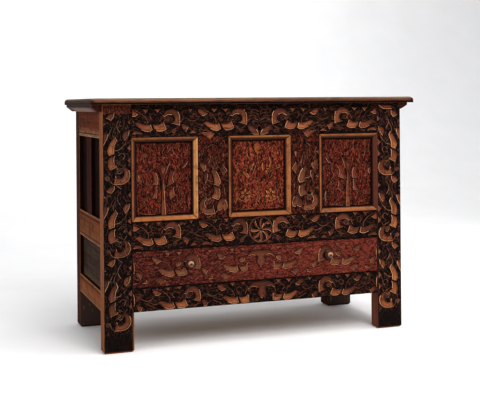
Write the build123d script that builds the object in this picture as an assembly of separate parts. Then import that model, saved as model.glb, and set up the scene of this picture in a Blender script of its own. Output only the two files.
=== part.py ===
"""A joined oak chest with one drawer: mortised-and-tenoned frame, panels in grooves, a lid on
pintle hinges and a side-hung drawer. Millimetres, +X to the right along the front, +Y to the
back, +Z up. The origin is on the floor, under the middle of the whole, knobs and lid included.
"""
from build123d import *
import math
import os

# ---------------------------------------------------------------- driving sizes
frame_depth = 490.0  # front face to back face of the joined frame
leg_clearance = 131.0  # floor to the underside of the front bottom rail
bottom_rail_height = 78.0
drawer_opening_height = 125.0
middle_rail_height = 97.0
panel_opening_height = 279.0
top_rail_height = 110.0
panel_opening_width = 230.0
front_muntin_width = 110.0
front_bays = ["left", "center", "right"]  # one panel in each, with a muntin between two bays

front_stile_width = 95.0  # seen from the front
front_stile_thickness = 52.0  # seen from the side
rear_stile_width = 100.0
rear_stile_thickness = 68.0
foot_step = 8.0  # the front left leg is left this much wider below the rail
foot_chamfer = 7.0
foot_wear = 6.0  # worn arrises under the feet
rail_thickness = 28.0

side_top_rail_height = 112.0
side_middle_rail_height = 91.0
side_middle_rail_lift = 12.0  # above the front middle rail
side_bottom_rail_height = 64.0
side_bottom_rail_lift = 4.0
side_muntin_width = 70.0
rear_top_rail_height = 100.0
rear_bottom_rail_height = 68.0
rear_muntin_width = 100.0
scratch_groove_width = 3.0  # the scratch-stock line along the side rails
scratch_groove_depth = 2.2
scratch_groove_inset = 11.0

# joinery
tenon_thickness = 9.0
tenon_setback = 13.0  # face of the rail to the tenon, and to the panel
tenon_length = 38.0
muntin_tenon_length = 26.0
tenon_shoulder = 12.0
joint_gap = 0.1  # round a tenon in its mortise
mortise_end_gap = 1.5
pin_radius = 4.0
pin_gap = 0.05
pin_inset = 16.0  # shoulder line to the pin
pin_end_margin = 30.0  # edge of a rail to its pins
pin_depth = 34.0

# panels and their applied mouldings
panel_engagement = 8.0  # panel edge inside its groove
groove_end_gap = 2.0
panel_field_thickness = 5.0  # the thicker middle, at the back of the tongue
panel_field_margin = 16.0
panel_field_bevel = 4.5
moulding_width = 15.5
moulding_flat = 4.5  # level band along its outer edge
moulding_proud = 5.0
moulding_inner_depth = 7.0  # depth of its thin inner edge, in front of the panel

# chest floor
floor_thickness = 14.0
floor_lift = 16.0  # above the underside of the middle rail
floor_groove_depth = 9.0
floor_end_gap = 1.0
floor_board_count = 4

# drawer
drawer_gap = 1.5
drawer_front_thickness = 22.0
drawer_side_thickness = 15.0
drawer_back_thickness = 13.0
drawer_bottom_thickness = 10.0
drawer_bottom_count = 3
drawer_front_lap = 10.0  # wood of the front that covers the ends of the sides
drawer_side_drop = 6.0  # the sides stop this far below the front's top edge
drawer_stop_gap = 0.3
runner_height = 16.0
runner_reach = 6.0  # into the groove of the drawer side
runner_back = 12.0  # wood behind the stile's inner face
runner_tenon_width = 7.0
runner_tenon_length = 10.0
runner_groove_end = 1.0
runner_play = 0.3
runner_rise = 6.0  # centre of the runner above the middle of the drawer opening
knob_inset = 293.0  # outer face of the frame to the knob
knob_rise = 11.0  # above the middle of the drawer opening
knob_reach = 27.0
knob_radius = 16.5
knob_flange_radius = 9.0
knob_neck_radius = 6.5
knob_neck_length = 9.0
knob_rim = 4.0  # thickness of the head's edge
knob_dish_radius = 10.0  # the turned hollow in the face
knob_dish_depth = 1.5
knob_button_radius = 5.5
knob_button_height = 3.0
knob_tenon_radius = 5.0
nail_radius = 1.6
nail_length = 34.0
nail_inset = 19.0  # edge of the drawer side to its nails

# lid
lid_thickness = 21.0
lid_front_overhang = 25.0
lid_side_overhang = 42.0
lid_rear_board_width = 210.0
lid_edge_radius = 12.0
lid_pin_radius = 4.0
lid_pin_length = 35.0
lid_pin_end_margin = 40.0
cleat_width = 34.0
cleat_depth = 24.0
cleat_outer_depth = 8.0
cleat_flat_width = 13.0
cleat_front_setback = 8.0
cleat_nose_radius = 18.0  # rounding under its front end
cleat_gap = 1.0  # between the cleat and the side of the frame
hinge_setback = 10.0  # pintle axis in front of the back face
hinge_drop = 14.0  # pintle axis below the lid's underside
hinge_pin_radius = 4.5
hinge_pin_gap = 0.08
hinge_pin_in_stile = 40.0
hinge_pin_in_cleat = 20.0

# lock
keyhole_radius = 5.0
keyhole_slot_width = 5.0
keyhole_drop = 15.0  # centre of the round part to the foot of the slot
keyhole_rise = 25.0  # centre of the round part above the rail's lower edge
lock_width = 100.0
lock_height = 100.0
lock_depth = 20.0
lock_wall = 2.0
lock_top_gap = 8.0  # below the lid's underside
bolt_length = 40.0
bolt_height = 8.0
bolt_thickness = 4.0
bolt_play = 0.3
bolt_start = 5.0
bolt_shelf_depth = 10.0
staple_thickness = 4.0
staple_width = 12.0
staple_length = 30.0
staple_plate = 3.0
staple_plate_width = 30.0
staple_eye_margin = 3.0
staple_clearance = 2.0

# ---------------------------------------------------------------- lines worked out from them
frame_width = (
    2 * front_stile_width
    + len(front_bays) * panel_opening_width
    + (len(front_bays) - 1) * front_muntin_width
)
half_width = frame_width / 2
front = -(frame_depth - max(knob_reach, lid_front_overhang)) / 2  # y of the front face
back = front + frame_depth

bottom_rail_low = leg_clearance
bottom_rail_top = bottom_rail_low + bottom_rail_height
middle_rail_low = bottom_rail_top + drawer_opening_height
middle_rail_top = middle_rail_low + middle_rail_height
top_rail_low = middle_rail_top + panel_opening_height
frame_top = top_rail_low + top_rail_height

front_inner = half_width - front_stile_width  # x of the front stiles' inner faces
rear_inner = half_width - rear_stile_width
side_front = front + front_stile_thickness  # y where the side rails start
side_back = back - rear_stile_thickness
tenon_back = tenon_setback + tenon_thickness

parts = {}


def block(x0, x1, y0, y1, z0, z1):
    """A box by its six limits."""
    middle = Pos((x0 + x1) / 2, (y0 + y1) / 2, (z0 + z1) / 2)
    return middle * Box(x1 - x0, y1 - y0, z1 - z0)


def cut(names, tool):
    for name in names:
        parts[name] = parts[name] - tool


def bounds_meet(first, second):
    """Whether two boxes round solids overlap, which saves most of the useless cuts."""
    a, b = first.bounding_box(), second.bounding_box()
    limits = zip(tuple(a.min), tuple(a.max), tuple(b.min), tuple(b.max))
    return all(low_a < high_b and low_b < high_a for low_a, high_a, low_b, high_b in limits)


def drill(names, hole):
    """Cuts a hole through those of the named pieces that it reaches."""
    cut([name for name in names if bounds_meet(parts[name], hole)], hole)


def rod_y(x, y0, y1, z, radius):
    return Pos(x, (y0 + y1) / 2, z) * Rot(90, 0, 0) * Cylinder(radius, y1 - y0)


def rod_x(x0, x1, y, z, radius):
    return Pos((x0 + x1) / 2, y, z) * Rot(0, 90, 0) * Cylinder(radius, abs(x1 - x0))


def rod_z(x, y, z0, z1, radius):
    return Pos(x, y, (z0 + z1) / 2) * Cylinder(radius, z1 - z0)


def mirrored(solid):
    return mirror(solid, about=Plane.YZ)


# ---------------------------------------------------------------- stiles
def worn_foot(solid):
    """Eases the arrises that stand on the floor."""
    return chamfer(solid.edges().group_by(Axis.Z)[0], foot_wear)


def rear_arris(solid):
    """Rounds the top back arris about the pintle axis, so that the lid can turn past it."""
    edge = solid.edges().filter_by(Axis.X).group_by(Axis.Z)[-1].sort_by(Axis.Y)[-1]
    return fillet(edge, hinge_setback)


def front_stile():
    return block(-half_width, -front_inner, front, side_front, 0, frame_top)


def rear_stile():
    solid = block(-half_width, -rear_inner, side_back, back, 0, frame_top)
    return worn_foot(rear_arris(solid))


def stepped_foot():
    """The front left leg keeps its full riven width below the rail, with a long chamfer."""
    step = block(-front_inner, -front_inner + foot_step, front, side_front, 0, leg_clearance)
    leg = front_stile() + step
    arris = leg.edges().filter_by(Axis.Z).group_by(Axis.X)[-1].sort_by(Axis.Y)[0]
    return worn_foot(chamfer(arris, foot_chamfer))


parts["front_left_stile"] = stepped_foot()
parts["front_right_stile"] = worn_foot(mirrored(front_stile()))
parts["rear_left_stile"] = rear_stile()
parts["rear_right_stile"] = mirrored(rear_stile())


# ---------------------------------------------------------------- rails and muntins
def face_band(face, outward, depth0, depth1):
    """Limits of a band between two depths behind a face that looks along -1 or +1."""
    a, b = face - outward * depth0, face - outward * depth1
    return min(a, b), max(a, b)


def tenoned_rail_x(name, x0, x1, face, outward, z0, z1, into):
    """A rail along X with a tenon at each end, let into the two named stiles."""
    y0, y1 = face_band(face, outward, 0, rail_thickness)
    t0, t1 = face_band(face, outward, tenon_setback, tenon_back)
    low, high = z0 + tenon_shoulder, z1 - tenon_shoulder
    rail = block(x0, x1, y0, y1, z0, z1)
    parts[name] = rail + block(x0 - tenon_length, x1 + tenon_length, t0, t1, low, high)
    reach = tenon_length + mortise_end_gap
    mortise = block(x0 - reach, x1 + reach, t0 - joint_gap, t1 + joint_gap,
                    low - joint_gap, high + joint_gap)
    cut(into, mortise)


def tenoned_rail_y(name, y0, y1, z0, z1):
    """A left side rail along Y; the right one is its mirror image."""
    x = -half_width
    low, high = z0 + tenon_shoulder, z1 - tenon_shoulder
    end_reach = min(tenon_length, front_stile_thickness - tenon_back)  # clear of the front tenons
    rail = block(x, x + rail_thickness, y0, y1, z0, z1)
    rail += block(x + tenon_setback, x + tenon_back, y0 - end_reach, y1 + end_reach, low, high)
    parts["left_" + name] = rail
    parts["right_" + name] = mirrored(rail)
    gap_reach = end_reach + mortise_end_gap
    mortise = block(x + tenon_setback - joint_gap, x + tenon_back + joint_gap,
                    y0 - gap_reach, y1 + gap_reach, low - joint_gap, high + joint_gap)
    cut(["front_left_stile", "rear_left_stile"], mortise)
    cut(["front_right_stile", "rear_right_stile"], mirrored(mortise))


def tenoned_muntin_x(name, centre, width, face, outward, z0, z1, into):
    """An upright in the plane of the front or back, tenoned into the rails above and below."""
    y0, y1 = face_band(face, outward, 0, rail_thickness)
    t0, t1 = face_band(face, outward, tenon_setback, tenon_back)
    half = width / 2 - tenon_shoulder
    reach = muntin_tenon_length
    muntin = block(centre - width / 2, centre + width / 2, y0, y1, z0, z1)
    parts[name] = muntin + block(centre - half, centre + half, t0, t1, z0 - reach, z1 + reach)
    reach += mortise_end_gap
    mortise = block(centre - half - joint_gap, centre + half + joint_gap,
                    t0 - joint_gap, t1 + joint_gap, z0 - reach, z1 + reach)
    cut(into, mortise)


front_stiles = ["front_left_stile", "front_right_stile"]
rear_stiles = ["rear_left_stile", "rear_right_stile"]
front_rails = {
    "front_top_rail": (top_rail_low, frame_top),
    "front_middle_rail": (middle_rail_low, middle_rail_top),
    "front_bottom_rail": (bottom_rail_low, bottom_rail_top),
}
for rail_name, (low, high) in front_rails.items():
    tenoned_rail_x(rail_name, -front_inner, front_inner, front, -1, low, high, front_stiles)

rear_rails = {
    "rear_top_rail": (frame_top - rear_top_rail_height, frame_top),
    "rear_middle_rail": (middle_rail_low, middle_rail_top),
    "rear_bottom_rail": (leg_clearance, leg_clearance + rear_bottom_rail_height),
}
for rail_name, (low, high) in rear_rails.items():
    tenoned_rail_x(rail_name, -rear_inner, rear_inner, back, 1, low, high, rear_stiles)
parts["rear_top_rail"] = rear_arris(parts["rear_top_rail"])

side_middle_low = middle_rail_low + side_middle_rail_lift
side_bottom_low = leg_clearance + side_bottom_rail_lift
side_rails = {
    "top_rail": (frame_top - side_top_rail_height, frame_top),
    "middle_rail": (side_middle_low, side_middle_low + side_middle_rail_height),
    "bottom_rail": (side_bottom_low, side_bottom_low + side_bottom_rail_height),
}
for rail_name, (low, high) in side_rails.items():
    tenoned_rail_y(rail_name, side_front, side_back, low, high)

bay_pitch = panel_opening_width + front_muntin_width
muntin_centres = {"front_left_muntin": -bay_pitch / 2, "front_right_muntin": bay_pitch / 2}
for muntin_name, centre in muntin_centres.items():
    tenoned_muntin_x(muntin_name, centre, front_muntin_width, front, -1,
                     middle_rail_top, top_rail_low, ["front_middle_rail", "front_top_rail"])
tenoned_muntin_x("rear_muntin", 0, rear_muntin_width, back, 1, middle_rail_top,
                 frame_top - rear_top_rail_height, ["rear_middle_rail", "rear_top_rail"])

side_middle = (side_front + side_back) / 2
side_upper = (side_rails["middle_rail"][1], side_rails["top_rail"][0])
side_lower = (side_rails["bottom_rail"][1], side_rails["middle_rail"][0])


def side_muntin():
    """The upright between the two upper side panels."""
    x, y = -half_width, side_middle
    z0, z1 = side_upper
    half = side_muntin_width / 2
    tenon_half = half - tenon_shoulder
    reach = muntin_tenon_length
    muntin = block(x, x + rail_thickness, y - half, y + half, z0, z1)
    muntin += block(x + tenon_setback, x + tenon_back, y - tenon_half, y + tenon_half,
                    z0 - reach, z1 + reach)
    reach += mortise_end_gap
    mortise = block(x + tenon_setback - joint_gap, x + tenon_back + joint_gap,
                    y - tenon_half - joint_gap, y + tenon_half + joint_gap, z0 - reach, z1 + reach)
    parts["left_muntin"] = muntin
    parts["right_muntin"] = mirrored(muntin)
    cut(["left_top_rail", "left_middle_rail"], mortise)
    cut(["right_top_rail", "right_middle_rail"], mirrored(mortise))


side_muntin()


# ---------------------------------------------------------------- panels in their grooves
def framed_panel_x(name, x0, x1, face, outward, z0, z1, around):
    """A panel in an opening of the front or back, its tongue in the grooves of what is round it."""
    t0, t1 = face_band(face, outward, tenon_setback, tenon_back)
    reach = panel_engagement
    tongue = block(x0 - reach, x1 + reach, t0, t1, z0 - reach, z1 + reach)
    f0, f1 = face_band(face, outward, tenon_back, tenon_back + panel_field_thickness)
    edge = panel_field_margin
    field = block(x0 + edge, x1 - edge, f0, f1, z0 + edge, z1 - edge)
    side = field.faces().sort_by(Axis.Y)[-1 if outward < 0 else 0]
    parts[name] = tongue + chamfer(side.edges(), panel_field_bevel)
    reach += groove_end_gap
    groove = block(x0 - reach, x1 + reach, t0 - joint_gap, t1 + joint_gap, z0 - reach, z1 + reach)
    cut(around, groove)


def framed_panel_y(name, y0, y1, z0, z1, around):
    """A side panel; the right one is its mirror image."""
    x = -half_width
    reach = panel_engagement
    tongue = block(x + tenon_setback, x + tenon_back, y0 - reach, y1 + reach, z0 - reach, z1 + reach)
    edge = panel_field_margin
    field = block(x + tenon_back, x + tenon_back + panel_field_thickness,
                  y0 + edge, y1 - edge, z0 + edge, z1 - edge)
    inner = field.faces().sort_by(Axis.X)[-1]
    panel = tongue + chamfer(inner.edges(), panel_field_bevel)
    parts["left_" + name] = panel
    parts["right_" + name] = mirrored(panel)
    reach += groove_end_gap
    groove = block(x + tenon_setback - joint_gap, x + tenon_back + joint_gap,
                   y0 - reach, y1 + reach, z0 - reach, z1 + reach)
    cut(["left_" + member for member in around["sides"]], groove)
    cut(["right_" + member for member in around["sides"]], mirrored(groove))
    cut(around["left_stiles"], groove)
    cut(around["right_stiles"], mirrored(groove))


front_panel_lines = {}
for index, bay in enumerate(front_bays):
    x0 = -front_inner + index * bay_pitch
    front_panel_lines["front_" + bay + "_panel"] = (x0, x0 + panel_opening_width)
front_members = front_stiles + ["front_middle_rail", "front_top_rail",
                                "front_left_muntin", "front_right_muntin"]
for panel_name, (x0, x1) in front_panel_lines.items():
    framed_panel_x(panel_name, x0, x1, front, -1, middle_rail_top, top_rail_low, front_members)

rear_upper = (middle_rail_top, frame_top - rear_top_rail_height)
rear_lower = (leg_clearance + rear_bottom_rail_height, middle_rail_low)
rear_members = rear_stiles + ["rear_middle_rail", "rear_top_rail", "rear_muntin"]
framed_panel_x("rear_left_panel", -rear_inner, -rear_muntin_width / 2, back, 1,
               *rear_upper, rear_members)
framed_panel_x("rear_right_panel", rear_muntin_width / 2, rear_inner, back, 1,
               *rear_upper, rear_members)
framed_panel_x("rear_lower_panel", -rear_inner, rear_inner, back, 1, *rear_lower,
               rear_stiles + ["rear_middle_rail", "rear_bottom_rail"])

framed_panel_y("front_panel", side_front, side_middle - side_muntin_width / 2, *side_upper,
               {"sides": ["top_rail", "middle_rail", "muntin"],
                "left_stiles": ["front_left_stile"], "right_stiles": ["front_right_stile"]})
framed_panel_y("rear_panel", side_middle + side_muntin_width / 2, side_back, *side_upper,
               {"sides": ["top_rail", "middle_rail", "muntin"],
                "left_stiles": ["rear_left_stile"], "right_stiles": ["rear_right_stile"]})
framed_panel_y("lower_panel", side_front, side_back, *side_lower,
               {"sides": ["middle_rail", "bottom_rail"],
                "left_stiles": ["front_left_stile", "rear_left_stile"],
                "right_stiles": ["front_right_stile", "rear_right_stile"]})


# ---------------------------------------------------------------- lines along the side rails
def scratch_line(z):
    """A shallow groove along the outside of a left side rail."""
    return block(-half_width, -half_width + scratch_groove_depth, side_front, side_back,
                 z - scratch_groove_width / 2, z + scratch_groove_width / 2)


scratched = {
    "top_rail": [side_rails["top_rail"][0] + scratch_groove_inset],
    "middle_rail": [side_rails["middle_rail"][0] + scratch_groove_inset,
                    side_rails["middle_rail"][1] - scratch_groove_inset],
    "bottom_rail": [side_rails["bottom_rail"][1] - scratch_groove_inset],
}
for rail_name, heights in scratched.items():
    for z in heights:
        cut(["left_" + rail_name], scratch_line(z))
        cut(["right_" + rail_name], mirrored(scratch_line(z)))


# ---------------------------------------------------------------- applied mouldings
def moulding_profile():
    """Section of the moulding: (distance in from the opening's edge, depth behind the front)."""
    return [
        (0, tenon_setback),
        (0, -moulding_proud),
        (moulding_flat, -moulding_proud),
        (moulding_width, tenon_setback - moulding_inner_depth),
        (moulding_width, tenon_setback),
    ]


def moulding_stick(length):
    """One stick along X, outer edge on z=0, cut to a mitre at both ends."""
    outline = [(depth, inset) for inset, depth in moulding_profile()]
    section = make_face(Plane.YZ * Polyline([*outline, outline[0]]))
    stick = Pos(-length / 2, 0, 0) * extrude(section, amount=length, dir=(1, 0, 0))
    run = moulding_width * 2
    for sign in (-1, 1):
        corner = [(sign * length / 2, 0), (sign * (length / 2 + run), 0),
                  (sign * (length / 2 + run), run), (sign * (length / 2 - run), run)]
        wedge = make_face(Plane.XZ * Polyline([*corner, corner[0]]))
        stick = stick - extrude(wedge, amount=run, both=True)
    return stick


def panel_moulding(x0, x1, z0, z1):
    """Four mitred sticks inside the opening, on the face of the panel."""
    cx, cz = (x0 + x1) / 2, (z0 + z1) / 2
    wide, high = x1 - x0, z1 - z0
    low = Pos(cx, front, z0) * moulding_stick(wide)
    top = Pos(cx, front, z1) * Rot(0, 180, 0) * moulding_stick(wide)
    left = Pos(x0, front, cz) * Rot(0, 90, 0) * moulding_stick(high)
    right = Pos(x1, front, cz) * Rot(0, -90, 0) * moulding_stick(high)
    return Compound([*low.solids(), *top.solids(), *left.solids(), *right.solids()])


for panel_name, (x0, x1) in front_panel_lines.items():
    parts[panel_name + "_moulding"] = panel_moulding(x0, x1, middle_rail_top, top_rail_low)

# ---------------------------------------------------------------- chest floor
floor_low = middle_rail_low + floor_lift
floor_top = floor_low + floor_thickness


def chest_floor():
    """Boards from front to back, their ends in grooves of the middle rails."""
    y0 = front + rail_thickness - floor_groove_depth
    y1 = back - rail_thickness + floor_groove_depth
    x1 = half_width - rail_thickness - floor_end_gap
    groove_f = block(-front_inner, front_inner, y0 - floor_end_gap, front + rail_thickness,
                     floor_low - joint_gap, floor_top + joint_gap)
    groove_b = block(-rear_inner, rear_inner, back - rail_thickness, y1 + floor_end_gap,
                     floor_low - joint_gap, floor_top + joint_gap)
    cut(["front_middle_rail"], groove_f)
    cut(["rear_middle_rail"], groove_b)
    width = 2 * x1 / floor_board_count
    gap = floor_end_gap
    corners = [
        block(-half_width, -front_inner + gap, front, side_front + gap, 0, frame_top),
        block(-half_width, -rear_inner + gap, side_back - gap, back, 0, frame_top),
    ]
    corners += [mirrored(corner) for corner in corners]
    boards = []
    for index in range(floor_board_count):
        x0 = -x1 + index * width
        board = block(x0, x0 + width, y0, y1, floor_low, floor_top)
        for corner in corners:
            board = board - corner
        boards += board.solids()
    return Compound(boards)


parts["chest_floor_boards"] = chest_floor()

# ---------------------------------------------------------------- drawer
drawer_low = bottom_rail_top + drawer_gap
drawer_high = middle_rail_low - drawer_gap
drawer_half = front_inner - drawer_gap
drawer_back = side_back - drawer_stop_gap
drawer_mid = (bottom_rail_top + middle_rail_low) / 2
box_low = drawer_low + drawer_gap + drawer_bottom_thickness  # underside of the drawer's sides
box_high = drawer_high - drawer_side_drop
side_start = front + drawer_front_lap
runner_top = drawer_mid + runner_height / 2 + runner_rise


def drawer_front():
    solid = block(-drawer_half, drawer_half, front, front + drawer_front_thickness,
                  drawer_low, drawer_high)
    for sign in (-1, 1):
        inner = sign * (drawer_half - drawer_side_thickness)
        outer = sign * drawer_half
        solid -= block(min(inner, outer), max(inner, outer), side_start,
                       front + drawer_front_thickness, drawer_low, drawer_high)
    solid -= block(-drawer_half, drawer_half, side_start, front + drawer_front_thickness,
                   drawer_low, box_low)
    return solid


def drawer_side():
    """The left side, with the groove that hangs on its runner."""
    solid = block(-drawer_half, -drawer_half + drawer_side_thickness, side_start, drawer_back,
                  box_low, box_high)
    groove_depth = runner_reach + runner_groove_end
    return solid - block(-drawer_half, -drawer_half + groove_depth,
                         front + drawer_front_thickness, drawer_back,
                         runner_top - runner_height - runner_play, runner_top + runner_play)


def drawer_bottom():
    low = box_low - drawer_bottom_thickness
    width = 2 * drawer_half / drawer_bottom_count
    boards = []
    for index in range(drawer_bottom_count):
        x0 = -drawer_half + index * width
        boards += block(x0, x0 + width, side_start, drawer_back, low, box_low).solids()
    return Compound(boards)


parts["drawer_front"] = drawer_front()
parts["drawer_left_side"] = drawer_side()
parts["drawer_right_side"] = mirrored(drawer_side())
parts["drawer_back"] = block(-drawer_half + drawer_side_thickness,
                             drawer_half - drawer_side_thickness,
                             drawer_back - drawer_back_thickness, drawer_back, box_low, box_high)
parts["drawer_bottom_boards"] = drawer_bottom()


def runner():
    """The left runner, tenoned into the stiles, in the groove of the drawer side."""
    x1 = -front_inner + drawer_gap + runner_reach
    x0 = -front_inner - runner_back
    low = runner_top - runner_height
    solid = block(x0, x1, side_front, side_back, low, runner_top)
    tenon = (x0, x0 + runner_tenon_width)
    end = runner_tenon_length
    solid += block(*tenon, side_front - end, side_back + end, low, runner_top)
    mortise = block(tenon[0] - joint_gap, tenon[1] + joint_gap,
                    side_front - end - mortise_end_gap, side_back + end + mortise_end_gap,
                    low - joint_gap, runner_top + joint_gap)
    return solid, mortise


left_runner, runner_mortise = runner()
parts["left_drawer_runner"] = left_runner
parts["right_drawer_runner"] = mirrored(left_runner)
cut(["front_left_stile", "rear_left_stile"], runner_mortise)
cut(["front_right_stile", "rear_right_stile"], mirrored(runner_mortise))


def knob(x, z):
    """A turned knob on its tenon, which goes through the drawer front."""
    face = knob_reach - knob_button_height
    rim_top = knob_neck_length + knob_rim
    rise = knob_button_height + knob_dish_depth
    ball = (knob_button_radius**2 + rise**2) / (2 * rise)
    lean = math.atan2(knob_button_radius, ball - rise) / 2
    button_middle = (ball * math.sin(lean), knob_reach - ball + ball * math.cos(lean))
    outline = [
        Line((0, -drawer_front_thickness), (knob_tenon_radius, -drawer_front_thickness)),
        Line((knob_tenon_radius, -drawer_front_thickness), (knob_tenon_radius, 0)),
        Line((knob_tenon_radius, 0), (knob_flange_radius, 0)),
        ThreePointArc((knob_flange_radius, 0), (knob_neck_radius, knob_neck_length / 2),
                      (knob_flange_radius, knob_neck_length)),
        Line((knob_flange_radius, knob_neck_length), (knob_radius - knob_rim / 2, knob_neck_length)),
        ThreePointArc((knob_radius - knob_rim / 2, knob_neck_length),
                      (knob_radius, knob_neck_length + knob_rim / 2),
                      (knob_radius - knob_rim / 2, rim_top)),
        Line((knob_radius - knob_rim / 2, rim_top), (knob_dish_radius, face)),
        Line((knob_dish_radius, face), (knob_button_radius, face - knob_dish_depth)),
        ThreePointArc((knob_button_radius, face - knob_dish_depth), button_middle, (0, knob_reach)),
        Line((0, knob_reach), (0, -drawer_front_thickness)),
    ]
    turned = revolve(make_face([Plane.XZ * edge for edge in outline]), Axis.Z)
    return Pos(x, front, z) * Rot(90, 0, 0) * turned


for side_name, sign in (("left", -1), ("right", 1)):
    x, z = sign * (half_width - knob_inset), drawer_mid + knob_rise
    parts[side_name + "_drawer_knob"] = knob(x, z)
    cut(["drawer_front"], rod_y(x, front, front + drawer_front_thickness, z,
                                knob_tenon_radius + pin_gap))


def drawer_nails():
    """Wrought nails: through the sides into the front and the back, and up through the bottom."""
    nails = []
    holes = []
    lap_y = (side_start + front + drawer_front_thickness) / 2
    back_y = drawer_back - drawer_back_thickness / 2
    heights = (box_low + nail_inset, box_high - nail_inset)
    for sign in (-1, 1):
        outer = sign * drawer_half
        inner = sign * (drawer_half - nail_length)
        for y in (lap_y, back_y):
            for z in heights:
                nails.append(rod_x(outer, inner, y, z, nail_radius))
                holes.append(rod_x(outer, inner, y, z, nail_radius + pin_gap))
    low = box_low - drawer_bottom_thickness
    for index in range(drawer_bottom_count):
        x = -drawer_half + (2 * index + 1) * drawer_half / drawer_bottom_count
        for y in (lap_y, back_y):
            top = low + nail_length
            nails.append(rod_z(x, y, low, top, nail_radius))
            holes.append(rod_z(x, y, low, top, nail_radius + pin_gap))
    members = ["drawer_front", "drawer_left_side", "drawer_right_side", "drawer_back",
               "drawer_bottom_boards"]
    for hole in holes:
        drill(members, hole)
    return Compound([solid for nail in nails for solid in nail.solids()])


parts["drawer_nails"] = drawer_nails()


# ---------------------------------------------------------------- wooden pins of the frame joints
def pinned(name, rods, members):
    """Drills each rod's hole through the members it crosses and keeps the rods as one node."""
    solids = []
    for rod, hole in rods:
        drill(members, hole)
        solids += rod.solids()
    parts[name] = Compound(solids)


def pin_pair_y(x, z, face, outward, depth):
    y0, y1 = face_band(face, outward, 0, depth)
    return rod_y(x, y0, y1, z, pin_radius), rod_y(x, y0, y1, z, pin_radius + pin_gap)


def rail_pin_heights(low, high):
    margin = min(pin_end_margin, (high - low) / 3)
    return low + margin, high - margin


front_pins = []
for low, high in front_rails.values():
    for z in rail_pin_heights(low, high):
        for sign in (-1, 1):
            front_pins.append(pin_pair_y(sign * (front_inner + pin_inset), z, front, -1, pin_depth))
for centre in muntin_centres.values():
    for z in (middle_rail_top - pin_inset, top_rail_low + pin_inset):
        front_pins.append(pin_pair_y(centre, z, front, -1, rail_thickness))
pinned("front_joint_pins", front_pins, front_stiles + list(front_rails) + list(muntin_centres))

rear_pins = []
for low, high in rear_rails.values():
    for z in rail_pin_heights(low, high):
        for sign in (-1, 1):
            rear_pins.append(pin_pair_y(sign * (rear_inner + pin_inset), z, back, 1, pin_depth))
for z in (middle_rail_top - pin_inset, rear_upper[1] + pin_inset):
    rear_pins.append(pin_pair_y(0, z, back, 1, rail_thickness))
pinned("rear_joint_pins", rear_pins, rear_stiles + list(rear_rails) + ["rear_muntin"])


def side_pins(sign):
    rods = []
    start = sign * half_width
    reach = sign * (half_width - pin_depth)
    inner = sign * (half_width - rail_thickness)
    places = []
    for low, high in side_rails.values():
        for z in rail_pin_heights(low, high):
            places += [(side_front - pin_inset, z, reach), (side_back + pin_inset, z, reach)]
    for z in (side_upper[0] - pin_inset, side_upper[1] + pin_inset):
        places.append((side_middle, z, inner))
    for y, z, end in places:
        rods.append((rod_x(start, end, y, z, pin_radius),
                     rod_x(start, end, y, z, pin_radius + pin_gap)))
    return rods


side_members = front_stiles + rear_stiles + ["left_muntin", "right_muntin"]
side_members += [side_name + "_" + rail for rail in side_rails for side_name in ("left", "right")]
pinned("side_joint_pins", side_pins(-1) + side_pins(1), side_members)

# ---------------------------------------------------------------- lid
lid_low = frame_top
lid_top = lid_low + lid_thickness
lid_front = front - lid_front_overhang
lid_half = half_width + lid_side_overhang
lid_seam = back - lid_rear_board_width


def lid_board(y0, y1, moulded_front):
    """A lid board with the thumbnail moulding on its ends, and on the front one's front edge."""
    solid = block(-lid_half, lid_half, y0, y1, lid_low, lid_top)
    top = solid.faces().sort_by(Axis.Z)[-1]
    edges = [*top.edges().filter_by(Axis.Y)]
    if moulded_front:
        edges.append(top.edges().filter_by(Axis.X).sort_by(Axis.Y)[0])
    return fillet(edges, lid_edge_radius)


def lid_cleat():
    """The left cleat: a batten below the lid's end, outside the frame, bevelled underneath."""
    inner = -half_width - cleat_gap
    outer = inner - cleat_width
    low = lid_low - cleat_depth
    blank = block(outer, inner, front + cleat_front_setback, back, low, lid_low)
    nose = blank.edges().filter_by(Axis.X).group_by(Axis.Z)[0].sort_by(Axis.Y)[0]
    outline = [
        (inner - cleat_flat_width, low), (outer, low), (outer, lid_low - cleat_outer_depth),
    ]
    bevel = make_face(Plane.XZ * Polyline([*outline, outline[0]]))
    return fillet(nose, cleat_nose_radius) - extrude(bevel, amount=frame_depth, both=True)


parts["lid_front_board"] = lid_board(lid_front, lid_seam, True)
parts["lid_rear_board"] = lid_board(lid_seam, back, False)
parts["left_lid_cleat"] = lid_cleat()
parts["right_lid_cleat"] = mirrored(lid_cleat())

lid_pin_x = half_width + cleat_gap + cleat_flat_width / 2 + lid_pin_radius / 2
pin_places = [
    front + cleat_front_setback + lid_pin_end_margin, lid_seam - lid_pin_end_margin,
    lid_seam + lid_pin_end_margin, back - lid_pin_end_margin,
]
lid_rods = []
for sign in (-1, 1):
    for y in pin_places:
        low = lid_top - lid_pin_length
        lid_rods.append((rod_z(sign * lid_pin_x, y, low, lid_top, lid_pin_radius),
                         rod_z(sign * lid_pin_x, y, low, lid_top, lid_pin_radius + pin_gap)))
pinned("lid_pins", lid_rods,
       ["lid_front_board", "lid_rear_board", "left_lid_cleat", "right_lid_cleat"])

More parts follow.
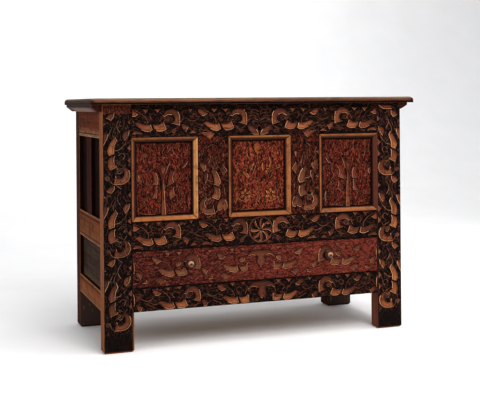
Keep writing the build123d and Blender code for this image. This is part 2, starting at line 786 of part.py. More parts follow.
# ---------------------------------------------------------------- pintle hinges
hinge_y = back - hinge_setback
hinge_z = lid_low - hinge_drop
hinge_solids = []
for side_name, sign in (("left", -1), ("right", 1)):
    inner = sign * (half_width - hinge_pin_in_stile)
    outer = sign * (half_width + cleat_gap + hinge_pin_in_cleat)
    pin = rod_x(outer, inner, hinge_y, hinge_z, hinge_pin_radius)
    hinge_solids += pin.solids()
    cut(["rear_" + side_name + "_stile"],
        rod_x(outer, inner, hinge_y, hinge_z, hinge_pin_radius + pin_gap))
    far = sign * (half_width + cleat_gap + cleat_width)
    cut([side_name + "_lid_cleat"],
        rod_x(far, sign * half_width, hinge_y, hinge_z, hinge_pin_radius + hinge_pin_gap))
parts["hinge_pins"] = Compound(hinge_solids)

# ---------------------------------------------------------------- lock
keyhole_z = top_rail_low + keyhole_rise
lock_front = front + rail_thickness
lock_back = lock_front + lock_depth
lock_top = lid_low - lock_top_gap
lock_low = lock_top - lock_height
bolt_y = lock_front + lock_depth / 2


def keyhole():
    hole = rod_y(0, front, lock_front, keyhole_z, keyhole_radius)
    slot = block(-keyhole_slot_width / 2, keyhole_slot_width / 2, front, lock_front,
                 keyhole_z - keyhole_drop, keyhole_z)
    return hole + slot


bolt_top = lid_low - staple_length + staple_eye_margin + bolt_play + bolt_height + bolt_play
bolt_low = bolt_top - bolt_height


def lock_case():
    """An iron box nailed behind the rail, open towards it, with a shelf that carries the bolt."""
    half = lock_width / 2
    solid = block(-half, half, lock_front, lock_back, lock_low, lock_top)
    solid -= block(-half + lock_wall, half - lock_wall, lock_front, lock_back - lock_wall,
                   lock_low + lock_wall, lock_top - lock_wall)
    slot_x = staple_thickness / 2 + staple_clearance
    slot_y = staple_width / 2 + staple_clearance
    solid -= block(-slot_x, slot_x, bolt_y - slot_y, min(bolt_y + slot_y, lock_back - lock_wall),
                   lock_top - lock_wall, lock_top)
    shelf_top = bolt_low - bolt_play
    solid += block(bolt_start, half - lock_wall, lock_back - lock_wall - bolt_shelf_depth,
                   lock_back - lock_wall, shelf_top - lock_wall, shelf_top)
    return solid


def lid_staple():
    """The staple under the lid: a small plate and an eye that the bolt passes through."""
    plate_half = staple_plate_width / 2
    plate = block(-plate_half, plate_half, bolt_y - staple_width / 2, bolt_y + staple_width / 2,
                  lid_low - staple_plate, lid_low)
    half = staple_thickness / 2
    eye = block(-half, half, bolt_y - staple_width / 2, bolt_y + staple_width / 2,
                lid_low - staple_length, lid_low - staple_plate)
    reach = staple_width / 2 - staple_eye_margin
    hole = block(-half, half, bolt_y - reach, bolt_y + reach,
                 lid_low - staple_length + staple_eye_margin, bolt_top + bolt_play)
    return plate + eye - hole


cut(["front_top_rail"], keyhole())
parts["lock_case"] = lock_case()
parts["lock_bolt"] = block(bolt_start, bolt_start + bolt_length, bolt_y - bolt_thickness / 2,
                           bolt_y + bolt_thickness / 2, bolt_low, bolt_top)
parts["lid_staple"] = lid_staple()

# ---------------------------------------------------------------- write one STEP file for each node
os.makedirs("parts", exist_ok=True)
for node_name, solid in parts.items():
    export_step(solid if isinstance(solid, Compound) else Compound(solid.solids()),
                "parts/" + node_name + ".step")
print(len(parts), "nodes; frame", frame_width, "x", frame_depth, "x", frame_top)
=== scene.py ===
# %% [markdown]
# # A carved joined chest with one drawer
# The frame is the chest's joinery at its real size: stiles, rails, muntins, panels, drawer and lid.
# This lesson gives it what a joiner and centuries of use gave the real one: the flat tulip-and-leaf
# carving on the front, black and red paint, oiled mouldings, worn arrises and old pine inside.
# The carver's sizes are in millimetres on the real chest; what the frame says is in metres.

# %% Load the frame
import math
import random

import bmesh
import bpy
from mathutils import Matrix, Vector
from mathutils.geometry import interpolate_bezier, intersect_line_line_2d


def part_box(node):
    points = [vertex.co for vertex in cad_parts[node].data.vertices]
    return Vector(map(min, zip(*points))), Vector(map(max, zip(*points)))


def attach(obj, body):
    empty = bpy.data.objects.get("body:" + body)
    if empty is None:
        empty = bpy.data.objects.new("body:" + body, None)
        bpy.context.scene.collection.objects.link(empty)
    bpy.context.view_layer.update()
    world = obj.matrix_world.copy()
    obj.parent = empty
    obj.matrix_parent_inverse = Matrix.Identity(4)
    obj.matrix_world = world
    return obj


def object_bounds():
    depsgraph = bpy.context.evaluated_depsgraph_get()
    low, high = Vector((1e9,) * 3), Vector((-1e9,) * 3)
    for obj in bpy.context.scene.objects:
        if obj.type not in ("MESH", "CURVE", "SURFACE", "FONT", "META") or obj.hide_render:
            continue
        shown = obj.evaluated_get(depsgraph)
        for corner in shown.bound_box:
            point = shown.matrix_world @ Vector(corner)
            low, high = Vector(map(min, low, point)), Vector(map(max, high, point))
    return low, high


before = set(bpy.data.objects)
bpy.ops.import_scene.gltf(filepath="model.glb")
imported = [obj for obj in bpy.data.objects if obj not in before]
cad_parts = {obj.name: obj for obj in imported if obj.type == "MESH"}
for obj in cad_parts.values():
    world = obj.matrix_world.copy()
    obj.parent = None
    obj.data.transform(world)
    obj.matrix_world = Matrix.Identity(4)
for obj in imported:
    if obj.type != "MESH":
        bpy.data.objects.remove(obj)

cad_low, cad_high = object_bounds()
MM = 0.001
size = Vector(cad_high) - Vector(cad_low)
print("frame:", len(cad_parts), "nodes, size", [round(v, 3) for v in size])

# %% [markdown]
# ## Camera
# A long lens far off keeps the chest's lines nearly parallel. The eye stands just under the lid's height,
# to the left of the chest, and looks straight ahead. The camera isn't tilted down, which would make the
# stiles lean: a vertical shift of the lens sets the chest in the picture instead.

# %% Camera
picture_width, picture_height = 480, 410
focal_length_px = 966.6
centre_line_px = 103.44
sensor_width = 36.0
camera_place = Vector((-1.1911, -3.3655, 0.8207))
camera_yaw = 0.3434
camera_roll = -0.0081

forward = Vector((math.sin(camera_yaw), math.cos(camera_yaw), 0))
level_right = Vector((math.cos(camera_yaw), -math.sin(camera_yaw), 0))
level_up = level_right.cross(forward)
camera_right = math.cos(camera_roll) * level_right + math.sin(camera_roll) * level_up
camera_up = camera_right.cross(forward)

camera_data = bpy.data.cameras.new("studio_camera")
camera_data.sensor_width = sensor_width
camera_data.lens = focal_length_px * sensor_width / picture_width
camera_data.shift_y = (centre_line_px - picture_height / 2) / picture_width
camera = bpy.data.objects.new("studio_camera", camera_data)
bpy.context.scene.collection.objects.link(camera)
turn = Matrix((camera_right, camera_up, -forward)).transposed().to_4x4()
camera.matrix_world = Matrix.Translation(camera_place) @ turn
bpy.context.scene.camera = camera
print("lens", round(camera_data.lens, 1), "mm, shift", round(camera_data.shift_y, 3))

# %% [markdown]
# ## Studio
# Five square area lights stand round the chest, and their size is what makes its shadow soft. The widest
# hangs overhead, so that the ground under the drawer turns grey. The strongest stands high in front, so that
# slopes facing up are bright and those facing down are dark. Two weak ones fill the left side and, from low
# on the right, the feet. The last one lights the backdrop alone.

# %% Colour and lights
def linear(code):
    """An sRGB colour, written as six hex digits, as the linear RGBA that Blender works in."""
    parts = [int(code[i:i + 2], 16) / 255 for i in (0, 2, 4)]
    return [c / 12.92 if c <= 0.04045 else ((c + 0.055) / 1.055) ** 2.4 for c in parts] + [1.0]


# Each light: its place, what it faces, its width in metres and its power in watts.
lights = {
    "overhead_softbox": ((0.7, -1.0, 2.7), (0, -0.4, 0), 2.4, 43),
    "high_front_softbox": ((0.2, -3.6, 3.2), (0, -0.1, 0.4), 2.0, 88),
    "left_fill": ((-3.4, -1.6, 2.0), (0, 0, 0.4), 1.6, 18),
    "low_right_fill": ((3.0, 0.9, 1.0), (0.3, 0, 0), 1.5, 13),
    "backdrop_light": ((0.9, 3.8, 3.6), (1.2, 5.0, 1.2), 2.2, 34),
}
for name, (place, target, width, watts) in lights.items():
    lamp = bpy.data.lights.new(name, "AREA")
    lamp.size = width
    lamp.energy = watts
    light = bpy.data.objects.new(name, lamp)
    bpy.context.scene.collection.objects.link(light)
    away = (Vector(place) - Vector(target)).to_track_quat("Z", "Y").to_matrix().to_4x4()
    light.matrix_world = Matrix.Translation(place) @ away

world = bpy.data.worlds.new("studio_air")
world.use_nodes = True
world.node_tree.nodes["Background"].inputs["Color"].default_value = linear("F3F3F5")
world.node_tree.nodes["Background"].inputs["Strength"].default_value = 0.58
bpy.context.scene.world = world
bpy.context.scene.view_settings.view_transform = "Standard"
bpy.context.scene.view_settings.look = "Medium High Contrast"
print("lights:", list(lights))

# %% [markdown]
# ## Adding a shader node
# A finish is a small tree of nodes. One function adds any of them: it takes the kind of node, what goes
# into its inputs (a number, a colour's hex digits, another node or one of its outputs) and its settings.

# %% One function for every node
def add(tree, kind, links=None, **settings):
    """Adds a shader node with its settings, and sets or links its inputs by name or by number."""
    node = tree.nodes.new("ShaderNode" + kind)
    for name, value in settings.items():
        setattr(node, name, value)
    for key, value in (links or {}).items():
        if isinstance(key, int):
            socket = node.inputs[key]
        else:
            socket = next(s for s in node.inputs if s.name == key and s.enabled)
        if isinstance(value, bpy.types.Node):
            value = next(s for s in value.outputs if s.enabled)
        if isinstance(value, bpy.types.NodeSocket):
            tree.links.new(value, socket)
        else:
            socket.default_value = linear(value) if isinstance(value, str) else value
    return node


def new_material(name):
    """An empty material, its tree and the piece's own coordinates."""
    material = bpy.data.materials.new(name)
    material.use_nodes = True
    tree = material.node_tree
    tree.nodes.clear()
    return material, tree, add(tree, "TexCoord").outputs["Object"]


print("helpers ready")

# %% [markdown]
# ## Masks and coats
# A mask is a number from 0 to 1 at each point of a piece. Noise stretched along one axis gives fibres,
# growth bands and pores, by size alone; even noise gives worn paint, handling marks and stains. Each is cut
# between two levels. Other masks ask where a point is: along an axis, round a knob, above a height. Coats of
# colour are laid one over the other, each where its masks say so. Fibres of oak are about 0.2 mm wide, which
# is too fine to show, so they are drawn at 1.5 mm.

# %% Masks and coats
wander_size, wander_height_mm, border_low_mm, border_high_mm = (40, 40, 12), 4.0, 1.2, 2.8


def mottle(tree, point, size, low, high, seed=0.0, detail=3.0):
    """A mask of noise with patches of this size in millimetres: one number, or one for each axis."""
    sizes = size if isinstance(size, (tuple, list)) else [size] * 3
    scaled = add(tree, "Mapping", {"Vector": point, "Location": (seed, seed * 1.7, seed * 0.6),
                                   "Scale": [1 / (s * MM) for s in sizes]})
    noise = add(tree, "TexNoise", {"Vector": scaled, "Scale": 1.0, "Detail": detail, "Roughness": 0.6})
    return add(tree, "MapRange", {"Value": noise.outputs["Fac"], "From Min": low, "From Max": high})


def squiggles(tree, point, size, thickness, seed):
    """Thin winding lines: the places where a noise of this size is near its middle value."""
    scaled = add(tree, "Mapping", {"Vector": point, "Location": (seed, seed * 0.7, seed * 1.3),
                                   "Scale": [1 / (s * MM) for s in size]})
    noise = add(tree, "TexNoise", {"Vector": scaled, "Scale": 1.0, "Detail": 1.0})
    off_middle = add(tree, "Math", {0: noise.outputs["Fac"], 1: 0.5}, operation="SUBTRACT")
    distance = add(tree, "Math", {0: off_middle}, operation="ABSOLUTE")
    return add(tree, "MapRange", {"Value": distance, "From Min": thickness, "From Max": thickness * 0.3})


def along_grain(grain, length, width):
    """The size of a streak: long on the grain's axis and narrow on the other two."""
    return [length if axis == grain else width for axis in "xyz"]


def fade(tree, point, axis, start, end, most=1.0, least=0.0, mirrored=False):
    """A mask that goes from least to most between two places on an axis, or on both sides of its middle."""
    place = add(tree, "SeparateXYZ", {"Vector": point}).outputs[axis]
    if mirrored:
        place = add(tree, "Math", {0: place}, operation="ABSOLUTE")
    return add(tree, "MapRange", {"Value": place, "From Min": start, "From Max": end,
                                  "To Min": least, "To Max": most})


def fade_round(tree, point, x, z, start_mm, end_mm, most=1.0):
    """A mask that grows from one radius to another round a line that runs from front to back."""
    flat = add(tree, "VectorMath", {0: point, 1: (1, 0, 1)}, operation="MULTIPLY")
    radius = add(tree, "VectorMath", {0: flat, 1: (x, 0, z)}, operation="DISTANCE").outputs["Value"]
    return add(tree, "MapRange", {"Value": radius, "From Min": start_mm * MM, "From Max": end_mm * MM,
                                  "To Max": most})


def past_height(tree, point, level, seed, below=False):
    """A mask that is 1 above this height, or below it, with a wandering border."""
    z = add(tree, "SeparateXYZ", {"Vector": point}).outputs["Z"]
    wander = mottle(tree, point, wander_size, 0.2, 0.8, seed, detail=4.0)
    raised = add(tree, "Math", {0: wander, 1: wander_height_mm * MM, 2: z}, operation="MULTIPLY_ADD")
    border = [level + border_low_mm * MM, level + border_high_mm * MM]
    if below:
        border.reverse()
    return add(tree, "MapRange", {"Value": raised, "From Min": border[0], "From Max": border[1]})


def off_faces(tree, point, node):
    """How far a point is from the low and from the high faces of a node's box, and the lesser of the two."""
    low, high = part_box(node)
    above = add(tree, "VectorMath", {0: point, 1: low}, operation="SUBTRACT")
    below = add(tree, "VectorMath", {0: high, 1: point}, operation="SUBTRACT")
    nearest = add(tree, "VectorMath", {0: above, 1: below}, operation="MINIMUM")
    return above, below, add(tree, "SeparateXYZ", {"Vector": nearest}).outputs


def coats(tree, ground, *layers):
    """Lays colours over a ground. A layer is a colour and its masks, and lies where all of them are 1."""
    for colour, mask, *others in layers:
        for other in others:
            mask = add(tree, "Math", {0: mask, 1: other}, operation="MULTIPLY")
        ground = add(tree, "Mix", {"Factor": mask, "A": ground, "B": colour}, data_type="RGBA")
    return ground


print("masks ready")

# %% [markdown]
# ## Bare wood
# Oak split from the log shows growth bands, fibres and short dark pores. Pine has the same bands with
# fainter pores. The colour is built in coats: a dark ground, lighter bands, fibres, then pores. The fibres
# raise the bump too, so that light catches them where the eye sees them. A bevel node rounds the shading of
# the sharp arrises by a millimetre or so, as hands and dusters do, and leaves the mesh alone.

# %% Bare wood
fibre_length, fibre_width = 70.0, 1.5
band_length, band_width = 480.0, 13.0
pore_length, pore_width = 16.0, 1.2
hand_worn_radius = 0.0016
oak_pores, pine_pores = 0.6, 0.15


def darker(code, share):
    """A colour with this share of its light."""
    return [c * share for c in linear(code)[:3]] + [1.0]


def bare_wood(tree, point, grain, light, dark, seed, pores=oak_pores):
    """The colour of old bare wood, and the mask of its fibres. pores is how dark the pores are."""
    bands = mottle(tree, point, along_grain(grain, band_length, band_width), 0.36, 0.64, seed)
    fibres = mottle(tree, point, along_grain(grain, fibre_length, fibre_width), 0.28, 0.72, seed + 5)
    short_pores = mottle(tree, point, along_grain(grain, pore_length, pore_width), 0.6, 0.74, seed + 9)
    handled = mottle(tree, point, 140, 0.35, 0.75, seed + 13)
    colour = coats(tree, dark, (light, bands, 0.75), (light, fibres, 0.4), (dark, handled, 0.5),
                   (darker(dark, 0.45), short_pores, pores))
    return colour, fibres


def finish_surface(material, colour, height, depth_mm, shine=(0.5, 0.72), gloss=0.2, metal=0.0):
    """Joins colour, bump and roughness in a shader. A higher surface is worn, so it is smoother."""
    tree = material.node_tree
    edge = add(tree, "Bevel", {"Radius": hand_worn_radius}, samples=4)
    bump = add(tree, "Bump", {"Height": height, "Strength": 0.8, "Distance": depth_mm * MM, "Normal": edge})
    roughness = add(tree, "MapRange", {"Value": height, "To Min": shine[1], "To Max": shine[0]})
    shader = add(tree, "BsdfPrincipled", {"Base Color": colour, "Normal": bump, "Roughness": roughness,
                                          "Specular IOR Level": gloss, "IOR": 1.5, "Metallic": metal})
    add(tree, "OutputMaterial", {"Surface": shader})


def dress(node, material):
    """Gives a CAD node one finish, without touching its mesh."""
    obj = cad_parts[node]
    obj.data.materials.clear()
    obj.data.materials.append(material)


print("bare wood ready")

# %% [markdown]
# ## Oiled oak of the frame
# An arris is the sharp edge where two faces of a board meet. It is where finish goes first. The distance to
# the nearest arris is worked out from the board's own box: of the distances to the box's three pairs of faces
# the least is nought on the surface, and the middle one is how far off the arris is. Noise makes the worn
# line wander. The faces round the sunk side panels are darker, dust lies low down, and the feet of the rear
# stiles are black and scratched by boots and brooms.

# %% Frame oak
chest_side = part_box("front_right_stile")[1].x
flush_mm, arris_worn_mm = 2, 2.5
groove_from_mm, groove_to_mm, border_mm = 0.5, 16.0, 2.0
no_dust_mm, full_dust_mm = 34, 3


def worn_arris(tree, point, node, width_mm, seed):
    """A mask that is 1 at a board's arrises and fades within about this width."""
    x, y, z = off_faces(tree, point, node)[2]
    smaller = add(tree, "Math", {0: x, 1: y}, operation="MINIMUM")
    larger = add(tree, "Math", {0: x, 1: y}, operation="MAXIMUM")
    second = add(tree, "Math", {0: larger, 1: z}, operation="MINIMUM")
    distance = add(tree, "Math", {0: smaller, 1: second}, operation="MAXIMUM")
    wander = mottle(tree, point, 18, 0.25, 0.75, seed + 21, detail=5.0)
    reach = add(tree, "Math", {0: wander, 1: width_mm * 2 * MM}, operation="MULTIPLY")
    return add(tree, "MapRange", {"Value": distance, "From Min": reach, "From Max": 0.0})


def grain_of(node):
    """A board's grain runs along its longest side."""
    low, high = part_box(node)
    size = high - low
    return "xyz"[max(range(3), key=lambda i: size[i])]


def frame_oak(node, seed, light, dark, edge, dust=0.0):
    """Oiled and handled oak of the sides and the back. dust is how much of it lies low down."""
    material, tree, point = new_material("oak_" + node)
    low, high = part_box(node)
    colour, fibres = bare_wood(tree, point, grain_of(node), light, dark, seed)
    grime = mottle(tree, point, 45, 0.52, 0.8, seed + 31)
    wear = worn_arris(tree, point, node, arris_worn_mm, seed)
    colour = coats(tree, colour, ("2E1A12", grime), (edge, wear))
    if dust:
        low_down = fade(tree, point, "Z", low.z + no_dust_mm * MM, low.z + full_dust_mm * MM, dust)
        patches = mottle(tree, point, along_grain(grain_of(node), 26, 3), 0.36, 0.62, seed + 36, detail=4.0)
        colour = coats(tree, colour, ("B08C6C", low_down, patches))
    outer = max(abs(low.x), abs(high.x))
    if outer > chest_side - flush_mm * MM and "panel" not in node:
        begin, end = outer - groove_from_mm * MM, outer - groove_to_mm * MM
        behind_face = fade(tree, point, "X", begin, begin - border_mm * MM, mirrored=True)
        by_groove = fade(tree, point, "X", end, end + border_mm * MM, 0.85, mirrored=True)
        colour = coats(tree, colour, ("180C09", behind_face, by_groove))
    if node.startswith("rear") and node.endswith("stile"):
        foot = past_height(tree, point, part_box("rear_bottom_rail")[0].z, seed + 41, below=True)
        front = fade(tree, point, "Y", low.y + 1 * MM, low.y)
        back = fade(tree, point, "Y", high.y - 1 * MM, high.y, 0.7)
        scratches = mottle(tree, point, (9, 9, 34), 0.6, 0.72, seed + 43, detail=5.0)
        colour = coats(tree, colour, ("4A3B36", foot, front), ("8A7868", scratches, foot, front),
                       ("6E4C38", back))
    finish_surface(material, colour, fibres, 0.35, gloss=0.01)
    dress(node, material)


print("frame oak ready")

# %% [markdown]
# ## The carver's outlines
# The whole front was laid out with one template, which the carver laid along each board every 240 mm, turned
# upright for the stiles and flipped over for the right half. So each leaf is drawn once. An outline is a few
# points, each a sharp corner that the knife left unless it is marked ROUND. Bezier curves join them, and a
# round point's handles follow the line between its neighbours. The first number of a point runs down the
# length of the board, and the second one goes across it, which on a rail is height.

# %% The template
ROUND = True
template_pitch = 240.0

template_leaves = {
    "long_petal": [(-5, 43), (9, 50), (32, 41, ROUND), (53, 40), (59.5, 22), (48, 15.5, ROUND),
                   (27, 20, ROUND), (8, 31, ROUND)],
    "short_petal": [(58, 43), (68, 40, ROUND), (84, 41, ROUND), (92, 50), (98, 46), (107.5, 24),
                    (97, 18, ROUND), (78, 17, ROUND), (65, 24, ROUND)],
    "scroll": [(93, 68), (104, 85, ROUND), (122, 93, ROUND), (140, 89, ROUND), (152, 74, ROUND),
               (155, 55, ROUND), (154, 35), (123, 43), (134, 50, ROUND), (135, 61, ROUND), (126, 70, ROUND),
               (113, 72, ROUND), (101, 65, ROUND)],
    "almond": [(-24, 92), (-8, 89, ROUND), (12, 75), (-4, 66, ROUND), (-21, 76, ROUND)],
    "small_leaf": [(157, 40), (170, 40, ROUND), (184, 30), (175, 13), (163, 22, ROUND)],
    "first_tooth": [(22, 94), (45, 94), (35, 81)],
    "second_tooth": [(63, 94), (86, 94), (76, 82)],
    "third_tooth": [(180, 94), (198, 94), (190, 83)],
}
rail_edge_leaves = {
    "tongue": [(-12, 9), (-4, 21), (12, 18, ROUND), (30, 9)],
    "edge_leaf": [(186, 9), (200, 22), (213, 9)],
}
stile_edge_leaves = {
    "tongue": [(-18, -2), (-14, 20), (2, 17, ROUND), (27, 4), (24, -2)],
    "edge_leaf": [(183, -2), (194, 11), (204, -2)],
}
drawer_edge_leaves = {
    "diamond": [(-15, 7), (2, 19), (27, 7), (7, -9)],
    "edge_leaf": [(183, -1), (194, 11, ROUND), (204, 1), (192, -3, ROUND)],
    "round_leaf": [(60, 60, ROUND), (70, 71, ROUND), (84, 66, ROUND), (80, 54, ROUND), (66, 51, ROUND)],
}
template_stems = [
    [(43, 39), (41, 55), (23, 75), (-9, 90)], [(-38, 36), (-20, 28), (0, 17), (24, 4)],
    [(-36, 46), (-12, 36), (3, 40)], [(104, 85), (94, 68), (84, 48)], [(156, 45), (163, 54), (170, 64)],
    [(98, 47), (104, 58), (96, 72), (84, 80)], [(134, 24), (144, 27), (153, 36)],
    [(176, 62), (190, 52), (206, 50), (224, 60)], [(60, 54), (52, 66), (60, 76), (72, 70)],
]
template_scrolls = [((112, 58), 11.0), ((134, 16), 8.0)]
print("template:", len(template_leaves), "leaves,", len(template_stems), "stems")

# %% [markdown]
# ## From outline to carved leaf
# A bmesh starts from the outline as one face. Extruding it gives the leaf its height, and three insets give
# it the profile that a gouge leaves: a sloping arris, a flat rim, and a hollow line inside the rim round a
# slightly sunk field. Each slope may carry another finish, so the arrises on the side that rubbing reached
# are pale and the others stay dark, near-black with painted shade; the walls that rise from the board get the
# same painted shade. A little seeded unevenness keeps two leaves from being twins.

# %% Leaf maker
random.seed(1705)
sample_step = 5.0
relief, panel_relief = 3.4, 3.0
arris_width, arris_drop = 1.9, 1.3
rim_width = 1.9
hollow_width, hollow_depth = 1.3, 1.0
rubbed_from, least_rubbed = Vector((0.75, -0.65)), 0.12
sunk_into_board = 0.6
unevenness, least_step, least_leaf_area, least_rimmed_area = 0.35, 0.8, 25.0, 150.0
most_knots = 12
FIELD, PALE_ARRIS, SHADE_AND_PAINT_ARRIS, HOLLOW, STEM, BRIGHT_FIELD = range(6)


def smooth_outline(points):
    """Joins sharp and round points by Bezier curves into one closed outline."""
    count = len(points)
    flat = [Vector(p[:2]) for p in points]
    sharp = [ROUND not in p[2:] for p in points]

    def handle(i, step):
        here, ahead, behind = flat[i], flat[(i + step) % count], flat[(i - step) % count]
        reach = (ahead - here).length / 3
        line = ahead - here if sharp[i] else ahead - behind
        return here + line.normalized() * reach

    outline = []
    for i in range(count):
        j = (i + 1) % count
        steps = 1
        if not (sharp[i] and sharp[j]):
            steps = max(2, round((flat[j] - flat[i]).length / sample_step))
        outline += interpolate_bezier(flat[i], handle(i, 1), handle(j, -1), flat[j], steps + 1)[:-1]
    return [Vector(p[:2]) for p in outline]


def trim(mesh, face, window):
    """Cuts a flat face off at the edges of a board: (left, right, low, high). Returns what is left."""
    left, right, low, high = window
    cuts = (((left, 0, 0), (-1, 0, 0)), ((right, 0, 0), (1, 0, 0)),
            ((0, 0, low), (0, 0, -1)), ((0, 0, high), (0, 0, 1)))
    parts = [face]
    for place, outwards in cuts:
        touched = dict.fromkeys(g for f in parts for g in (f, *f.edges, *f.verts))
        kept = bmesh.ops.bisect_plane(mesh, geom=list(touched), plane_co=place, plane_no=outwards,
                                      clear_outer=True)["geom"]
        parts = [g for g in kept if isinstance(g, bmesh.types.BMFace) and g.is_valid]
    return [f for f in parts if f.calc_area() > least_leaf_area]


def untangle(mesh, face):
    """Where an inset outline crosses itself, as at a sharp tip, welds the small loop into one corner."""
    for _ in range(most_knots):
        corners = [v.co.xz for v in face.verts]
        count = len(corners)
        sides = list(zip(corners, corners[1:] + corners[:1]))
        knots = []
        for i in range(count):
            for j in range(i + 2, count - (i == 0)):
                place = intersect_line_line_2d(*sides[i], *sides[j])
                if place:
                    knots.append((i, j, place))
        if not knots:
            return face
        i, j, place = min(knots, key=lambda k: min(k[1] - k[0], count - k[1] + k[0]))
        loop = set(range(i + 1, j + 1))
        if len(loop) > count / 2:
            loop = set(range(count)) - loop
        verts = [v for n, v in enumerate(face.verts) if n in loop]
        kept = [v for n, v in enumerate(face.verts) if n not in loop]
        middle = Vector((place.x, verts[0].co.y, place.y))
        bmesh.ops.pointmerge(mesh, verts=verts, merge_co=middle)
        face = next((f for v in kept for f in v.link_faces if set(kept) <= set(f.verts)), None)
        if face is None or len(kept) < 2:
            return None
    return face


def arris_finish(face):
    """Pale where the slope looks down or towards the middle of the chest; dark elsewhere, kept paint with
    painted shade.
    """
    inwards = face.normal.x * (-1 if face.calc_center_median().x > 0 else 1)
    rubbed = rubbed_from.dot((inwards, face.normal.z))
    return PALE_ARRIS if rubbed > least_rubbed else SHADE_AND_PAINT_ARRIS


def carve(mesh, outline, window, height=relief, plain=False, field=FIELD):
    """Raises one leaf from its outline on a board that faces -Y. The outline is (across, up) points."""
    corners = []
    for p in outline:
        p = p + Vector((random.uniform(-1, 1), random.uniform(-1, 1))) * unevenness
        if not corners or (p - corners[-1]).length > least_step:
            corners.append(p)
    whole = mesh.faces.new([mesh.verts.new((p.x, sunk_into_board, p.y)) for p in corners])
    for base in trim(mesh, whole, window):
        base.normal_update()
        if base.normal.y > 0:
            base.normal_flip()
        raised = bmesh.ops.extrude_face_region(mesh, geom=[base])["geom"]
        top = next(g for g in raised if isinstance(g, bmesh.types.BMFace))
        for v in top.verts:
            v.co.y = -(height - arris_drop)
        # The walls that rise from the board get the near-black finish: painted shade round the foot of the
        # leaf.
        for edge in top.edges:
            for wall in edge.link_faces:
                wall.material_index = SHADE_AND_PAINT_ARRIS
        steps = [(arris_width, arris_drop, None)]
        if not plain and top.calc_area() > least_rimmed_area:
            steps += [(rim_width, 0.0, field), (hollow_width, -hollow_depth, HOLLOW)]
        for width, lift, finish in steps:
            top.normal_update()
            ring = bmesh.ops.inset_region(mesh, faces=[top], thickness=width)["faces"]
            for v in top.verts:
                v.co.y -= lift
            for face in ring:
                face.normal_update()
                face.material_index = arris_finish(face) if finish is None else finish
            top = untangle(mesh, top)
            if top is None:
                break
            top.material_index = field


print("leaf maker ready")

# %% [markdown]
# ## Stems and scrolls
# Between the leaves run thin raised stems. A curve with a round bevel makes them: half of its thickness is
# sunk in the board, so a low rounded ridge shows. A scroll is a stem too, and its path comes from a formula:
# the radius shrinks as the angle grows.

# %% Stem maker
stem_radius, panel_stem_radius = 1.15, 1.3
stem_margin, stem_steps = 1.5, 6
weld_distance = 0.001
scroll_turns, scroll_steps, scroll_shrink = 1.6, 22, 0.78


def smooth_path(points):
    """An open path through the points, rounded by Bezier curves."""
    flat = [Vector(p) for p in points]
    path = [flat[0]]
    for i in range(len(flat) - 1):
        before, after = flat[max(i - 1, 0)], flat[min(i + 2, len(flat) - 1)]
        here, there = flat[i], flat[i + 1]
        reach = (there - here).length / 3
        out = here + (there - before).normalized() * reach
        back = there - (after - here).normalized() * reach
        path += [Vector(p[:2]) for p in interpolate_bezier(here, out, back, there, stem_steps)[1:]]
    return path


def own_paths(lines, sides=(1,)):
    """Smooth paths given in the chest's own millimetres, and flipped over for side -1."""
    return [smooth_path([(x * side, z) for x, z in line]) for side in sides for line in lines]


def scroll_path(centre, radius):
    """A spiral that starts at this radius and closes in on its eye."""
    path = []
    for i in range(scroll_steps + 1):
        angle = i / scroll_steps * scroll_turns * math.tau
        r = radius * (1 - scroll_shrink * i / scroll_steps)
        path.append(Vector((centre[0] + r * math.cos(angle), centre[1] + r * math.sin(angle))))
    return path


def ring_path(centre, radius, steps):
    """A closed circle."""
    angles = [i * math.tau / steps for i in range(steps + 1)]
    return [centre + Vector((math.cos(a), math.sin(a))) * radius for a in angles]


def inside(path, window):
    """The points of a path that lie on a board, clear of its edges."""
    left, right, low, high = window
    return [p for p in path if left + stem_margin < p.x < right - stem_margin
            and low + stem_margin < p.y < high - stem_margin]


def add_stems(mesh, paths, radius=stem_radius):
    """Turns paths on the board into half-sunk round ridges, and adds them to the board's mesh."""
    curve = bpy.data.curves.new("stems", "CURVE")
    curve.dimensions = "3D"
    curve.bevel_depth = radius
    curve.bevel_resolution = 1
    curve.use_fill_caps = True
    for path in paths:
        if len(path) > 2:
            spline = curve.splines.new("POLY")
            spline.points.add(len(path) - 1)
            for point, p in zip(spline.points, path):
                point.co = (p.x, 0.0, p.y, 1.0)
    holder = bpy.data.objects.new("stems", curve)
    ridges = bpy.data.meshes.new_from_object(holder)
    older_faces, older_verts = len(mesh.faces), len(mesh.verts)
    mesh.from_mesh(ridges)
    mesh.faces.ensure_lookup_table()
    mesh.verts.ensure_lookup_table()
    for face in mesh.faces[older_faces:]:
        face.material_index = STEM
    bmesh.ops.remove_doubles(mesh, verts=mesh.verts[older_verts:], dist=weld_distance)
    bpy.data.objects.remove(holder)
    bpy.data.curves.remove(curve)
    bpy.data.meshes.remove(ridges)


print("stem maker ready")

# %% [markdown]
# ## Laying the template on a board
# A placement says where the template's corner goes, which way it runs and how large it is: along a rail it
# runs to the right, down a stile it runs down, and the right half of the chest is the left half flipped.
# What falls outside the board's window is trimmed, just as the real leaves are cut off at a board's edge.

# %% Placement and pieces
front_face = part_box("front_left_stile")[0].y
panel_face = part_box("front_left_panel")[0].y
# A leaf's wear attribute adds its own random wear to painted shading by height, which lightens its lower
# edge.
own_wear, shading_by_height = 0.45, 0.55


class Placement:
    """Where a template goes on the front, in millimetres, with the middle of the chest at 0."""

    def __init__(self, origin, along, across, scale=1.0, side=1):
        self.origin, self.along, self.across = Vector(origin), Vector(along), Vector(across)
        self.scale, self.side = scale, side

    def point(self, a, c):
        p = self.origin + (a * self.along + c * self.across) * self.scale
        return Vector((p.x * self.side, p.y))

    def outline(self, points, lift):
        return smooth_outline([(*self.point(a, c + lift), *mark) for a, c, *mark in points])


def flipped(window, side):
    """A window as it is, or its mirror image for side -1."""
    left, right, low, high = window
    return (left, right, low, high) if side > 0 else (-right, -left, low, high)


